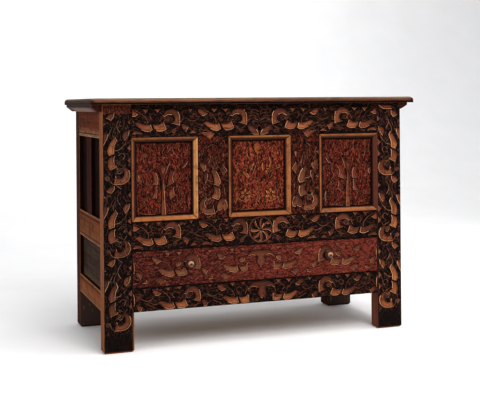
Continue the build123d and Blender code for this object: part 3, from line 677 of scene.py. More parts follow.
def lay_template(mesh, stems, place, window, edge_leaves, tooth_lift=0.0, skip=()):
    """Carves one repeat of the template and collects its stems."""
    for name, points in {**template_leaves, **edge_leaves}.items():
        if name not in skip:
            is_tooth = name.endswith("tooth")
            field = BRIGHT_FIELD if name.endswith("petal") else FIELD
            outline = place.outline(points, tooth_lift if is_tooth else 0.0)
            carve(mesh, outline, window, plain=is_tooth, field=field)
    paths = [smooth_path([place.point(a, c) for a, c in stem]) for stem in template_stems]
    if "scroll" not in skip:
        paths += [scroll_path(place.point(*eye), radius * place.scale) for eye, radius in template_scrolls]
    stems += [inside(path, window) for path in paths]


def carve_rail(mesh, stems, window, starts, low, scale, edge_leaves, **options):
    """Both halves of a rail: the left one as laid out, the right one flipped over."""
    for side in (1, -1):
        for start in starts:
            place = Placement((start, low), (1, 0), (0, 1), scale, side)
            lay_template(mesh, stems, place, flipped(window, side), edge_leaves, **options)


def motif(mesh, outlines, window, height=relief, sides=(1,)):
    """Carves outlines given in the chest's own millimetres, and flips them for side -1."""
    for side in sides:
        for points in outlines:
            shape = smooth_outline([(x * side, z, *mark) for x, z, *mark in points])
            carve(mesh, shape, flipped(window, side), height)


def carve_wheel(mesh, outline, centre, count, window, height=relief):
    """Carves one outline, drawn round its own centre, this many times in a circle."""
    for i in range(count):
        swing = Matrix.Rotation(i * math.tau / count, 2)
        shape = [(*(centre + swing @ Vector((x, z))), *mark) for x, z, *mark in outline]
        carve(mesh, smooth_outline(shape), window, height, plain=True)


def vary_wear_and_shading(mesh):
    """Gives every leaf and stem an attribute from 0 to 1: its own wear, plus painted shading that grows to
    its lower edge.
    """
    wear = mesh.verts.layers.float.new("wear")
    seen = set()
    for first in mesh.verts:
        if first in seen:
            continue
        seen.add(first)
        piece = [first]
        for v in piece:
            for edge in v.link_edges:
                other = edge.other_vert(v)
                if other not in seen:
                    seen.add(other)
                    piece.append(other)
        low, high = min(v.co.z for v in piece), max(v.co.z for v in piece)
        share = random.random()
        for v in piece:
            v[wear] = own_wear * share + shading_by_height * (high - v.co.z) / max(high - low, 1.0)


def finish_carving(name, mesh, finishes, face=front_face, body="chest"):
    """Makes the object: millimetres to metres, placed on the board's face at this Y, riding on its body."""
    open_edges = [edge for edge in mesh.edges if edge.is_boundary]
    if open_edges:
        bmesh.ops.holes_fill(mesh, edges=open_edges, sides=0)
    bmesh.ops.recalc_face_normals(mesh, faces=mesh.faces)
    vary_wear_and_shading(mesh)
    bmesh.ops.scale(mesh, vec=(MM, MM, MM), verts=mesh.verts)
    bmesh.ops.translate(mesh, vec=(0, face, 0), verts=mesh.verts)
    data = bpy.data.meshes.new(name)
    mesh.to_mesh(data)
    mesh.free()
    for material in carved[finishes]:
        data.materials.append(material)
    piece = bpy.data.objects.new(name, data)
    bpy.context.scene.collection.objects.link(piece)
    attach(piece, body)
    print(name, len(data.polygons), "faces,", len(open_edges), "open edges closed")


print("front face at", round(front_face, 4), "m; panels at", round(panel_face, 4), "m")

# %% [markdown]
# ## Finishes of the carving
# The raised leaves were left in the wood's own colour under thin red-brown paint, and are worn to orange
# where hands and cloths reach. So a leaf's field is bare wood under patches of old paint and grime, with
# painted shading as well: darker at its top, lighter towards its lower edge. Its pale arris is almost bare.
# Its dark arris and the walls under the leaf are near-black, painted shade over the kept paint, and its
# hollow line keeps the paint over wood darkened with the shade tone.

# %% Carving finishes
def leaf_finish(name, grain, seed, light, dark, paint, paint_share, rubbed=None):
    """Worn oak under what is left of its paint. paint_share is how much of it still shows."""
    material, tree, point = new_material(name)
    colour, fibres = bare_wood(tree, point, grain, light, dark, seed)
    level = 0.72 - 0.4 * paint_share
    old_paint = mottle(tree, point, 16, level, level + 0.16, seed + 3, detail=5.0)
    grime = mottle(tree, point, along_grain(grain, 22, 5), 0.56, 0.72, seed + 8, detail=4.0)
    if rubbed:
        # The wear attribute carries painted shading too: the top of a leaf keeps the dark paint, and its
        # lower edge takes the rubbed colour, as if lit.
        wear = add(tree, "Attribute", attribute_name="wear").outputs["Fac"]
        kept = add(tree, "MapRange", {"Value": wear, "From Min": 0.55, "From Max": 0.05, "To Max": 0.8})
        bared_and_lit = add(tree, "MapRange", {"Value": wear, "From Min": 0.55, "From Max": 0.95, "To Max": 0.6})
        across_grain = along_grain(grain, 9, 2.4)[::-1]
        hatch = mottle(tree, point, across_grain, 0.5, 0.66, seed + 11, detail=2.0)
        colour = coats(tree, colour, (paint, kept), (rubbed, bared_and_lit), (dark, hatch, 0.6))
    colour = coats(tree, colour, (paint, old_paint), ("24120C", grime))
    finish_surface(material, colour, fibres, 0.6, gloss=0.1)
    return material


def carving_finishes(name, grain, seed, light, dark, paint, paint_share, bright, rubbed, pale, shade, stem):
    """The finishes of a carved board: FIELD, PALE_ARRIS, SHADE_AND_PAINT_ARRIS, HOLLOW, STEM and BRIGHT_FIELD."""
    return [
        leaf_finish(name + "_field", grain, seed, light, dark, paint, paint_share, bright),
        leaf_finish(name + "_pale_arris", grain, seed + 1, pale, light, dark, 0.15),
        # The dark arris is near-black in all its tones: kept paint with painted shade.
        leaf_finish(name + "_shade_and_paint_arris", grain, seed + 2, shade, shade, shade, 0.6),
        leaf_finish(name + "_hollow", grain, seed + 3, dark, shade, paint, 0.7),
        leaf_finish(name + "_stem", grain, seed + 4, stem, dark, paint, 0.5, stem),
        leaf_finish(name + "_bright_field", grain, seed + 5, bright, dark, paint, paint_share * 0.6, rubbed),
    ]


# Grain, seed, light and dark wood, paint and its share, then bright, rubbed, pale, shade and stem.
carving_tones = {
    "rail_carving": ("x", 3, "864C34", "4E281B", "2E1610", 0.35,
                     "9C5C3C", "BE7A4A", "DCB084", "070403", "8E5A44"),
    "left_stile_carving": ("z", 17, "7E4A32", "4A281C", "2C1812", 0.4,
                           "90583A", "A86E46", "D8B088", "070403", "98765A"),
    "right_stile_carving": ("z", 23, "965838", "5E301F", "341A12", 0.35,
                            "B06E40", "CC8C54", "E0B88C", "070403", "A87A54"),
    "drawer_carving": ("x", 29, "84563C", "583226", "4A1C12", 0.35,
                       "94623E", "AE7C50", "C4986E", "1A0805", "744434"),
    "panel_carving": ("z", 41, "94542C", "662E18", "4A1A0E", 0.45,
                      "A8682F", "C08C50", "D8AC78", "0C0403", "B4784A"),
    "tulip_carving": ("z", 47, "7D4630", "5C2A1A", "441A10", 0.45,
                      "905C40", "A67858", "BC9880", "100604", "8E5E48"),
}
carved = {name: carving_finishes(name, *tones) for name, tones in carving_tones.items()}
print("carving finishes:", list(carved))

# %% [markdown]
# ## The rails
# Each long rail shows two repeats of the template in its left half and two flipped ones in its right half.
# They meet at the middle in a motif of their own: a pinwheel on the middle rail, a hooked crest on the
# bottom rail, and two leaves round the keyhole on the top rail. The frame says where the boards lie.

# %% Board edges from the frame
def edges_mm(node):
    """The left, right, low and high edges of a CAD node, in millimetres."""
    low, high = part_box(node)
    return low.x / MM, high.x / MM, low.z / MM, high.z / MM


stile_left, stile_right = edges_mm("front_left_stile")[0], edges_mm("drawer_front")[0]
board_margin, moulding_width, middle_gap = 1.5, 16.0, 0.5
motif_reach = 60
rail_start, small_start, small_scale = -441.0, -366.0, 0.95
repeats = (rail_start, rail_start + template_pitch)
small_repeats = [small_start + n * template_pitch * small_scale for n in (-1, 0, 1)]


def half_window(node, plain_top=0.0):
    """The left half of a rail, clear of its edges."""
    low, high = edges_mm(node)[2:]
    return stile_right + board_margin, -middle_gap, low + board_margin, high - plain_top - board_margin


def panel_window(moulding):
    """What a panel's moulding leaves open."""
    left, right, low, high = edges_mm(moulding)
    return left + moulding_width, right - moulding_width, low + moulding_width, high - moulding_width


print("stile from", round(stile_left), "to", round(stile_right), "mm")

# %% [markdown]
# ### Top rail
# A plain strip was left along its upper edge, because the lid's shadow hides it. Two leaves lean against
# the keyhole, and a diamond stands over each muntin, across the joint.

# %% Top rail
keyhole_leaf = [(-46, 748), (-31, 745, ROUND), (-16, 736, ROUND), (-6, 724), (-2.5, 712), (-16, 712, ROUND),
                (-32, 719, ROUND), (-43, 733, ROUND)]
keyhole_place, keyhole_arch_radius = Vector((0, 735)), 8.0
muntin_diamond = [(-213, 720), (-198, 739), (-164, 719), (-182, 698)]
top_rail_low, lowered_teeth, plain_strip = 713.0, -3.0, 9.0
top_rail_lines = [
    [(-44, 804), (-30, 798), (-16, 800), (-2, 792)], [(-43, 790), (-28, 786), (-14, 788), (-2, 782)],
    [(-41, 776), (-26, 780), (-12, 775)], [(-38, 764), (-22, 770), (-6, 765)],
    [(-30, 755), (-16, 759), (-2, 753)], [(-270, 741), (-256, 737), (-240, 739), (-232, 730)],
]
mesh, stems = bmesh.new(), []
window = half_window("front_top_rail", plain_top=plain_strip)
carve_rail(mesh, stems, window, repeats[:1], top_rail_low, 1.0, rail_edge_leaves, tooth_lift=lowered_teeth)
carve_rail(mesh, stems, window, repeats[1:], top_rail_low, 1.0, {"tongue": rail_edge_leaves["tongue"]},
           tooth_lift=lowered_teeth, skip=("small_leaf", "third_tooth"))
motif(mesh, [keyhole_leaf], window, sides=(1, -1))
over_joint = (*window[:2], edges_mm("front_left_panel")[2], window[3])
motif(mesh, [muntin_diamond], over_joint, sides=(1, -1))
stems += own_paths(top_rail_lines, (1, -1))
arch_degrees = range(-35, 216, 25)
arch = [keyhole_place + Matrix.Rotation(math.radians(a), 2) @ Vector((keyhole_arch_radius, 0))
        for a in arch_degrees]
add_stems(mesh, stems + [arch])
finish_carving("top_rail_carving", mesh, "rail_carving")

# %% [markdown]
# ### Middle rail and its pinwheel
# The pinwheel is one blade turned eight times inside a rim. The blades lean, and the dark gaps between them
# make the wheel seem to spin.

# %% Middle rail
wheel_centre, wheel_radius, rim_radius, blade_count = Vector((2.5, 383.5)), 43.0, 2.8, 8
blade = [(0, 2), (-6, 13, ROUND), (-8, 26, ROUND), (-3, 40), (11, 38), (3, 28, ROUND), (2, 14, ROUND)]
middle_rail_low, wheel_gap, wheel_steps = 334.0, 3, 48
mesh, stems = bmesh.new(), []
window = half_window("front_middle_rail")
left_of_wheel = (window[0], wheel_centre.x - wheel_radius - wheel_gap, *window[2:])
carve_rail(mesh, stems, left_of_wheel, repeats, middle_rail_low, 1.0, rail_edge_leaves)
carve_wheel(mesh, blade, wheel_centre, blade_count, (-motif_reach, motif_reach, *window[2:]))
add_stems(mesh, stems)
add_stems(mesh, [ring_path(wheel_centre, wheel_radius, wheel_steps)], rim_radius)
finish_carving("middle_rail_carving", mesh, "rail_carving")

# %% [markdown]
# ### Bottom rail and drawer
# Both carry the template a little smaller. Where two halves meet, a crest hooks down on each side of a
# short tongue. The drawer is higher than a rail, so its tongues become whole diamonds, and one stem bends
# over each knob and one under it.

# %% Bottom rail
crest = [(-52, 35), (-46, 49, ROUND), (-30, 59, ROUND), (0, 61, ROUND), (30, 59, ROUND), (46, 48, ROUND),
         (51, 33), (39, 42, ROUND), (25, 43, ROUND), (14, 36), (18, 18, ROUND), (2, 0), (-15, 17, ROUND),
         (-10, 36), (-24, 43, ROUND), (-39, 42, ROUND)]
bottom_rail_low, bottom_crest_foot, bottom_crest_left = 118.0, (3, 144), -44


def crest_at(x, z):
    """The crest's outline with the foot of its tongue here."""
    return [(x + a, z + b, *mark) for a, b, *mark in crest]


mesh, stems = bmesh.new(), []
window = half_window("front_bottom_rail")
left_of_crest = (window[0], bottom_crest_left, *window[2:])
carve_rail(mesh, stems, left_of_crest, small_repeats, bottom_rail_low, small_scale, rail_edge_leaves)
motif(mesh, [crest_at(*bottom_crest_foot)], (-motif_reach, motif_reach, *window[2:]))
add_stems(mesh, stems)
finish_carving("bottom_rail_carving", mesh, "rail_carving")

# %% Drawer front
knob_left, knob_right, knob_low, knob_high = edges_mm("right_drawer_knob")
knob_x, knob_z = (knob_left + knob_right) / 2, (knob_low + knob_high) / 2
drawer_lines = [
    [(-knob_x - 56, knob_z), (-knob_x - 30, knob_z + 24), (-knob_x, knob_z + 44)],
    [(-knob_x + 26, knob_z - 24), (-knob_x + 40, knob_z - 38), (-knob_x + 58, knob_z - 46)],
]
drawer_low, drawer_crest_foot, drawer_crest_left = 226.0, (0, 253), -49
drawer_inset, raised_teeth = 2, 9.0
mesh, stems = bmesh.new(), []
window = half_window("drawer_front")
left_of_crest = (window[0] + drawer_inset, drawer_crest_left, *window[2:])
carve_rail(mesh, stems, left_of_crest, small_repeats, drawer_low, small_scale, drawer_edge_leaves,
           tooth_lift=raised_teeth)
motif(mesh, [crest_at(*drawer_crest_foot)], (-motif_reach, motif_reach, *window[2:]))
add_stems(mesh, stems + own_paths(drawer_lines, (1, -1)))
drawer_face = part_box("drawer_front")[0].y
finish_carving("drawer_carving", mesh, "drawer_carving", drawer_face, "drawer")

# %% [markdown]
# ## Stiles and muntins
# The same template runs down the stiles four times, cut off at the top and above the feet, which are left
# uncarved. The left stile stays plain at its top. On the muntins the template is flipped and runs once,
# under the teeth of another repeat, with a heart at the bottom.

# %% Stiles
stile_repeats = [951.0, 711.0, 470.0, 229.0]
stile_overhang = 2
stile_carved_low = 74.0
stile_carved_top = {"left": 792.0, "right": 812.0}
for side, word in ((1, "left"), (-1, "right")):
    mesh, stems = bmesh.new(), []
    window = (stile_left + board_margin, stile_right - board_margin, stile_carved_low, stile_carved_top[word])
    for start in stile_repeats:
        place = Placement((stile_left - stile_overhang, start), (0, -1), (1, 0), side=side)
        lay_template(mesh, stems, place, flipped(window, side), stile_edge_leaves)
    add_stems(mesh, stems)
    finish_carving(word + "_stile_carving", mesh, word + "_stile_carving")

# %% Muntins
heart = [(-138, 502), (-149, 492, ROUND), (-159, 475, ROUND), (-159, 462, ROUND), (-150, 455, ROUND),
         (-139, 461), (-129, 455, ROUND), (-121, 463, ROUND), (-121, 478, ROUND), (-128, 493, ROUND)]
red_leaf = [(-203, 590), (-192, 584, ROUND), (-190, 568, ROUND), (-200, 546), (-205, 566, ROUND)]
small_muntin_leaf = [(-138, 655), (-131, 647, ROUND), (-136, 634), (-143, 645, ROUND)]
muntin_lines = [
    [(-163, 640), (-158, 618), (-152, 600)], [(-216, 660), (-209, 648), (-212, 638)],
    [(-216, 515), (-206, 524), (-198, 532)], [(-132, 545), (-130, 530), (-128, 512)],
]
muntin_start = Vector((-129.0, 599.0))
muntin_sides = (-224, -116)
low, high = edges_mm("front_middle_rail")[3], edges_mm("front_top_rail")[2]
window = (*muntin_sides, low + board_margin, high - board_margin)
diamond = {"diamond": drawer_edge_leaves["diamond"]}
all_but_teeth = ("scroll", "long_petal", "short_petal", "small_leaf", "almond")
for side, word in ((1, "left"), (-1, "right")):
    mesh, stems = bmesh.new(), []
    place = Placement(muntin_start, (0, -1), (-1, 0), side=side)
    above = Placement(muntin_start + Vector((0, template_pitch)), (0, -1), (-1, 0), side=side)
    lay_template(mesh, stems, place, flipped(window, side), diamond, skip=("small_leaf",))
    lay_template(mesh, stems, above, flipped(window, side), {}, skip=all_but_teeth)
    motif(mesh, [heart, red_leaf, small_muntin_leaf], window, sides=(side,))
    add_stems(mesh, stems + own_paths(muntin_lines, (side,)))
    finish_carving(word + "_muntin_carving", mesh, "left_stile_carving")

# %% [markdown]
# ## Panels
# The side panels carry a tall tulip on a stem between two pairs of leaves; the right one is the left one
# flipped. The middle panel has leaves that meet in a V under two arched heads. Low down at its sides, where
# such chests have an owner's letters, two plain rosettes are carved. The relief is low, and fine lines fill
# the ground.

# %% Tulip panels
tulip = [(-352, 446), (-349, 530, ROUND), (-350, 567, ROUND), (-358, 590, ROUND), (-367, 608),
         (-358, 612, ROUND), (-347, 618), (-335, 612, ROUND), (-318, 627), (-332, 588, ROUND),
         (-339, 566, ROUND), (-338, 520, ROUND), (-334, 446)]
tulip_heart = [(-354, 606), (-345, 612, ROUND), (-337, 606), (-345, 579)]
tulip_leaves = [
    [(-387, 591), (-377, 599), (-366, 587, ROUND), (-360, 570, ROUND), (-362, 550), (-381, 551),
     (-377, 568, ROUND), (-380, 582, ROUND)],
    [(-319, 600), (-300, 595), (-308, 580, ROUND), (-309, 566, ROUND), (-305, 556), (-332, 544),
     (-328, 558, ROUND), (-325, 577, ROUND)],
    [(-376, 548), (-364, 547), (-365, 505), (-384, 506), (-375, 526, ROUND)],
    [(-306, 544), (-318, 534, ROUND), (-326, 521, ROUND), (-320, 500), (-296, 515), (-305, 525, ROUND)],
    [(-254, 629), (-267, 622, ROUND), (-279, 603), (-265, 609, ROUND)],
    [(-351, 642), (-344, 653), (-335, 643), (-345, 631)],
    [(-436, 592), (-428, 584, ROUND), (-423, 568), (-434, 563, ROUND)],
    [(-257, 510), (-251, 490, ROUND), (-255, 466), (-261, 488, ROUND)],
]
tulip_lines = [
    [(-341, 452), (-342, 510), (-342, 562), (-332, 592), (-322, 616)],
    [(-355, 452), (-355, 540), (-366, 590)], [(-431, 515), (-418, 532), (-403, 543)],
    [(-415, 482), (-409, 494), (-405, 506)], [(-418, 470), (-404, 486), (-390, 476), (-374, 455)],
    [(-262, 602), (-256, 570), (-255, 522)], [(-300, 540), (-280, 528), (-266, 505)],
    [(-312, 490), (-300, 470), (-286, 456)], [(-392, 690), (-384, 660), (-392, 630), (-386, 612)],
    [(-410, 688), (-414, 650), (-406, 620)], [(-370, 690), (-366, 664), (-372, 636)],
    [(-318, 690), (-318, 672), (-326, 656)], [(-300, 688), (-310, 670), (-300, 652), (-290, 640)],
    [(-282, 690), (-290, 676), (-282, 660)], [(-262, 690), (-256, 668), (-264, 650)],
    [(-434, 690), (-428, 660), (-432, 630)], [(-430, 552), (-418, 560), (-412, 580), (-418, 604)],
    [(-400, 612), (-394, 590), (-400, 560), (-392, 530)],
    [(-286, 600), (-280, 580), (-288, 560), (-276, 545)], [(-345, 688), (-339, 672), (-346, 658)],
    [(-356, 692), (-330, 696), (-306, 692)], [(-430, 460), (-400, 452), (-370, 452)],
    [(-325, 452), (-300, 454), (-270, 456)],
]
tulip_curls = [((-280, 490), 9.0), ((-410, 496), 8.0), ((-300, 570), 7.0), ((-404, 648), 7.0),
               ((-282, 626), 6.0)]
tulip_heart_lift = 1.0
window = panel_window("front_left_panel_moulding")
for node, side in (("front_left_panel", 1), ("front_right_panel", -1)):
    mesh = bmesh.new()
    motif(mesh, [tulip, *tulip_leaves], window, panel_relief, (side,))
    motif(mesh, [tulip_heart], window, panel_relief + tulip_heart_lift, (side,))
    stems = own_paths(tulip_lines, (side,)) + [scroll_path((x * side, z), r) for (x, z), r in tulip_curls]
    add_stems(mesh, [inside(path, flipped(window, side)) for path in stems], panel_stem_radius)
    finish_carving(node + "_carving", mesh, "tulip_carving", panel_face)

# %% Middle panel
bud = [(-5, 693), (-19, 676, ROUND), (-17, 658, ROUND), (-5, 642), (7, 659, ROUND), (9, 677, ROUND)]
v_leaves = [
    [(-39, 600, ROUND), (-30, 614, ROUND), (-18, 614), (-22, 598, ROUND), (-30, 585)],
    [(16, 614, ROUND), (26, 606, ROUND), (25, 592, ROUND), (17, 584), (12, 600, ROUND)],
    [(-63, 582), (-42, 559), (-34, 567), (-54, 591, ROUND)],
    [(33, 574), (53, 605), (47, 630, ROUND), (38, 636), (42, 608, ROUND), (26, 583)],
    [(-7, 614), (-12, 613), (-26, 574), (-20, 576)],
]
middle_lines = [
    [(-89, 602), (-80, 594), (-69, 588)], [(-69, 590), (-77, 582), (-86, 572)],
    [(86, 603), (75, 594), (60, 605)], [(50, 572), (64, 592), (84, 580)],
    [(-90, 648), (-84, 668), (-70, 678), (-56, 668), (-48, 648)],
    [(-80, 640), (-76, 660), (-68, 666), (-60, 654)],
    [(26, 640), (29, 664), (43, 681), (62, 683), (78, 668), (84, 640)],
    [(38, 648), (44, 664), (54, 671), (68, 664), (74, 640)], [(52, 660), (50, 645), (56, 630)],
    [(62, 660), (64, 645), (58, 632)], [(-4, 638), (-2, 622), (2, 610)],
    [(-16, 570), (-4, 556), (-14, 542), (-2, 528), (-12, 512), (-2, 496), (-10, 480), (0, 464)],
    [(-2, 572), (6, 556), (-2, 542), (6, 526), (-2, 510), (6, 494), (-2, 478)],
    [(-88, 560), (-80, 540), (-88, 520), (-80, 498), (-86, 474)],
    [(88, 560), (80, 540), (88, 520), (82, 492)], [(-46, 552), (-32, 540), (-24, 548)],
    [(28, 552), (44, 542), (60, 550)], [(-86, 458), (-50, 454), (-10, 457)],
    [(10, 457), (50, 454), (86, 459)], [(-92, 692), (-60, 696), (-24, 692)],
    [(14, 694), (50, 696), (90, 690)], [(-40, 670), (-44, 650), (-36, 632)],
    [(-28, 684), (-32, 664), (-28, 640)], [(70, 546), (76, 524), (70, 500), (76, 478)],
    [(18, 470), (28, 462), (44, 468)],
]
rosette_petal = [(0, 4), (-6, 11, ROUND), (-3, 20, ROUND), (0, 21), (3, 20, ROUND), (6, 11, ROUND)]
rosette_places, petal_count = [Vector((-52, 507)), Vector((46, 505))], 6
rosette_radius, rosette_steps = 25.0, 36
mesh = bmesh.new()
window = panel_window("front_center_panel_moulding")
motif(mesh, [bud, *v_leaves], window, panel_relief)
for place in rosette_places:
    carve_wheel(mesh, rosette_petal, place, petal_count, window, panel_relief)
stems = own_paths(middle_lines)
stems += [ring_path(place, rosette_radius, rosette_steps) for place in rosette_places]
add_stems(mesh, [inside(path, window) for path in stems], panel_stem_radius)
finish_carving("front_center_panel_carving", mesh, "panel_carving", panel_face)

# %% [markdown]
# ## Painted grounds
# The carved boards are oak, and only their front face was painted: lamp black on most of the frame, with iron
# red showing through, and red on the drawer and the panels. So each of these boards gets one finish that
# knows where its front face is: within a millimetre of it the paint lies over the wood, and the sides stay
# bare. Winding cuts of the carver's gouge roughen the ground: the lighter wood shows on the ridges between
# them with a painted highlight, and the cuts are near-black with dirt and painted shade. Some boards carry
# more layers of their own, such as the painted shadow round the drawer's knobs. The rails and the drawer have
# near-black edges, which paint the shadow in the gaps under the lid and round the drawer.

# %% Painted board
# The first near-black darkens the gouge cuts with dirt, and paints shade in the gaps along the rails and the
# drawer and inside the keyhole.
soot_and_shade_black, lamp_black, soot_red = "080403", "0E0705", "2E120B"
rail_lines, stile_lines, panel_lines = (20, 11, 11), (11, 11, 20), (8, 8, 15)
paint_depth_mm, plain_foot_border_mm, plain_top_border_mm = 1.0, 12, 3
whole_red_mm, thin_red_mm = -400, 200
keyhole_edge_mm, keyhole_dark_mm = 8.5, 6.0
# Radii of the painted shadow round each drawer knob.
knob_unshaded_mm, knob_shadow_mm = 24, 18
# Distances of the dirt and painted shade along each panel's moulding.
panel_unshaded_mm, panel_dirt_and_shade_mm = 23.5, 19.0


def own_layers(tree, point, node, seed):
    """What only some boards carry: the layers below their streaks and lines, and the ones above."""
    lower, upper = [], []
    if node.endswith("stile"):
        # Below the carving the paint is whole and black, with a few streaks of wear.
        border = stile_carved_low - plain_foot_border_mm
        foot = past_height(tree, point, border * MM, seed + 24, below=True)
        streaks = mottle(tree, point, (3, 3, 40), 0.58, 0.7, seed + 25, detail=4.0)
        upper += [("0F0806", foot, 0.85), ("3A2016", streaks, foot)]
    if node == "front_left_stile":
        # Its plain top is worn to red-brown wood, with short marks of a scraper.
        top = past_height(tree, point, (stile_carved_top["left"] - plain_top_border_mm) * MM, seed + 26)
        marks = mottle(tree, point, (4, 4, 9), 0.52, 0.66, seed + 28)
        upper += [("4A221A", top, 0.65), ("7A3E28", marks, top)]
    if node == "drawer_front":
        # The red is rubbed thin and bright towards its right end, and a painted shadow rings each knob.
        lower.append(("84382A", fade(tree, point, "X", whole_red_mm * MM, thin_red_mm * MM, 0.48)))
        for x in (-knob_x * MM, knob_x * MM):
            ring = fade_round(tree, point, x, knob_z * MM, knob_unshaded_mm, knob_shadow_mm, 0.9)
            upper.append(("140706", ring))
    if node.endswith("panel"):
        # Blotches of brighter red and of soot cloud the paint, and dirt with painted shade lies along the
        # moulding's foot.
        red = mottle(tree, point, 24, 0.54, 0.72, seed + 51, detail=5.0)
        soot = mottle(tree, point, 30, 0.54, 0.7, seed + 57, detail=5.0)
        lower += [("A03C20", red, 0.4), ("1A0806", soot, 0.5)]
        x, y, z = off_faces(tree, point, node + "_moulding")[2]
        nearest = add(tree, "Math", {0: x, 1: z}, operation="MINIMUM")
        dirt_and_shade = add(tree, "MapRange", {"Value": nearest, "From Min": panel_unshaded_mm * MM,
                                      "From Max": panel_dirt_and_shade_mm * MM, "To Max": 0.92})
        upper.append(("100403", dirt_and_shade))
    return lower, upper


def painted_board(node, seed, ground, patch, patch_share, streak, line, line_size, cut=1.0,
                  bare=("8E5632", "5E321D"), edge="2A1710", edge_width=1.6):
    """Oak whose front is painted in two colours, worn in streaks, and cut with dark and light lines."""
    material, tree, point = new_material("painted_" + node)
    grain = grain_of(node)
    wood, fibres = bare_wood(tree, point, grain, *bare, seed)
    level = 0.68 - 0.36 * patch_share
    patches = mottle(tree, point, along_grain(grain, 30, 8), level, level + 0.1, seed + 2, detail=6.0)
    streaks = mottle(tree, point, along_grain(grain, 20, 2.2), 0.58, 0.7, seed + 4, detail=4.0)
    # Ridge lines are paler wood with a painted highlight; cut lines are near-black with dirt and painted
    # shade.
    ridges = squiggles(tree, point, line_size, 0.045, seed + 6)
    cuts = squiggles(tree, point, line_size, 0.06, seed + 16)
    lower, upper = own_layers(tree, point, node, seed)
    paint = coats(tree, ground, (patch, patches), *lower, (streak, streaks), (line, ridges, 0.46),
                  (soot_and_shade_black, cuts, cut), *upper)
    wear = worn_arris(tree, point, node, edge_width, seed)
    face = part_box(node)[0].y
    front = fade(tree, point, "Y", face + paint_depth_mm * MM, face)
    colour = coats(tree, wood, (paint, front), (edge, wear))
    # Round the keyhole the board turns black: painted shade for the dark inside of the hole.
    if node == "front_top_rail":
        keyhole_shade = fade_round(tree, point, *keyhole_place * MM, keyhole_edge_mm, keyhole_dark_mm)
        colour = coats(tree, colour, (soot_and_shade_black, keyhole_shade))
    depth = add(tree, "Math", {0: ridges, 1: cuts}, operation="SUBTRACT")
    height = add(tree, "Math", {0: depth, 1: front, 2: fibres}, operation="MULTIPLY_ADD")
    finish_surface(material, colour, height, 0.9, gloss=0.08)
    dress(node, material)


painted_board("front_left_stile", 5.0, lamp_black, soot_red, 0.35, "40201A", "664234", stile_lines,
              bare=("9C5828", "6A3A1C"), edge="A06A40")
painted_board("front_right_stile", 12.0, lamp_black, "34171A", 0.5, "4A2420", "6E4638", stile_lines,
              bare=("84503A", "583226"), edge="4A2C20")
# On the rails the edge colour is near-black and wide: painted shadow in the gaps under the lid and over and
# under the drawer, and dark joints elsewhere.
for i, node in enumerate(["front_middle_rail", "front_bottom_rail", "front_top_rail"]):
    painted_board(node, 25.0 + i * 7, lamp_black, soot_red, 0.5, "4A2418", "6E4430", rail_lines,
                  edge=soot_and_shade_black, edge_width=4.0)
for i, node in enumerate(["front_left_muntin", "front_right_muntin"]):
    painted_board(node, 47.0 + i * 7, "1A0A07", "48180E", 0.75, "6A2C1C", "7E4A34", stile_lines)
# The drawer's near-black edge is a painted shadow in the gap round it.
painted_board("drawer_front", 61.0, "30110D", "521F18", 0.6, "6A3428", "8A5040", rail_lines, cut=0.75,
              edge=soot_and_shade_black, edge_width=2.5)
for i, node in enumerate(["front_left_panel", "front_right_panel"]):
    painted_board(node, 70.0 + i * 9, "240A07", "5A1A12", 0.62, "8C442E", "9E5C42", panel_lines, cut=0.9)
painted_board("front_center_panel", 91.0, "2C0C08", "6A221A", 0.67, "A85C38", "B26E4A", panel_lines, cut=0.85)
print("painted boards done")

# %% [markdown]
# ## Mouldings
# A mitred moulding frames each panel and was only oiled, so it is the brightest wood on the front. The grain
# runs along each of its four strips. One finish holds both grains and asks which edge of the frame is nearer:
# a side edge means an upright strip. Where two edges are equally near lies the mitre, drawn as a dark line.
# Each strip has its own tone of painted light and shade, and is clean up to some width, behind which lies
# dirt with painted shade. A dark line along the outer edge is a painted shadow where the moulding stands
# proud.

# %% Mouldings
# For the left strip, the foot, the right strip and the head: a tone of painted light and shade, its share and
# the clean width.
moulding_light_and_shade = {
    "front_left_panel_moulding": [("3E1E18", 0.25, 7.0), ("B87C44", 0.1, 12.0),
                                  ("DCA468", 0.35, 12.0), ("4A2418", 0.4, 7.8)],
    "front_center_panel_moulding": [("3E1E18", 0.15, 6.5), ("5A3020", 0.25, 12.0),
                                    ("8A5430", 0.05, 12.0), ("4A2418", 0.4, 7.0)],
    "front_right_panel_moulding": [("6A3418", 0.1, 7.5), ("5A3020", 0.25, 12.0),
                                   ("4C2019", 0.9, 12.0), ("5E3020", 0.25, 7.5)],
}
same_distance_mm, dirt_border_mm = 0.01, 2.5
off_mitre_mm, on_mitre_mm = 2.4, 0.6
off_board_mm, at_board_mm = 1.6, 0.3

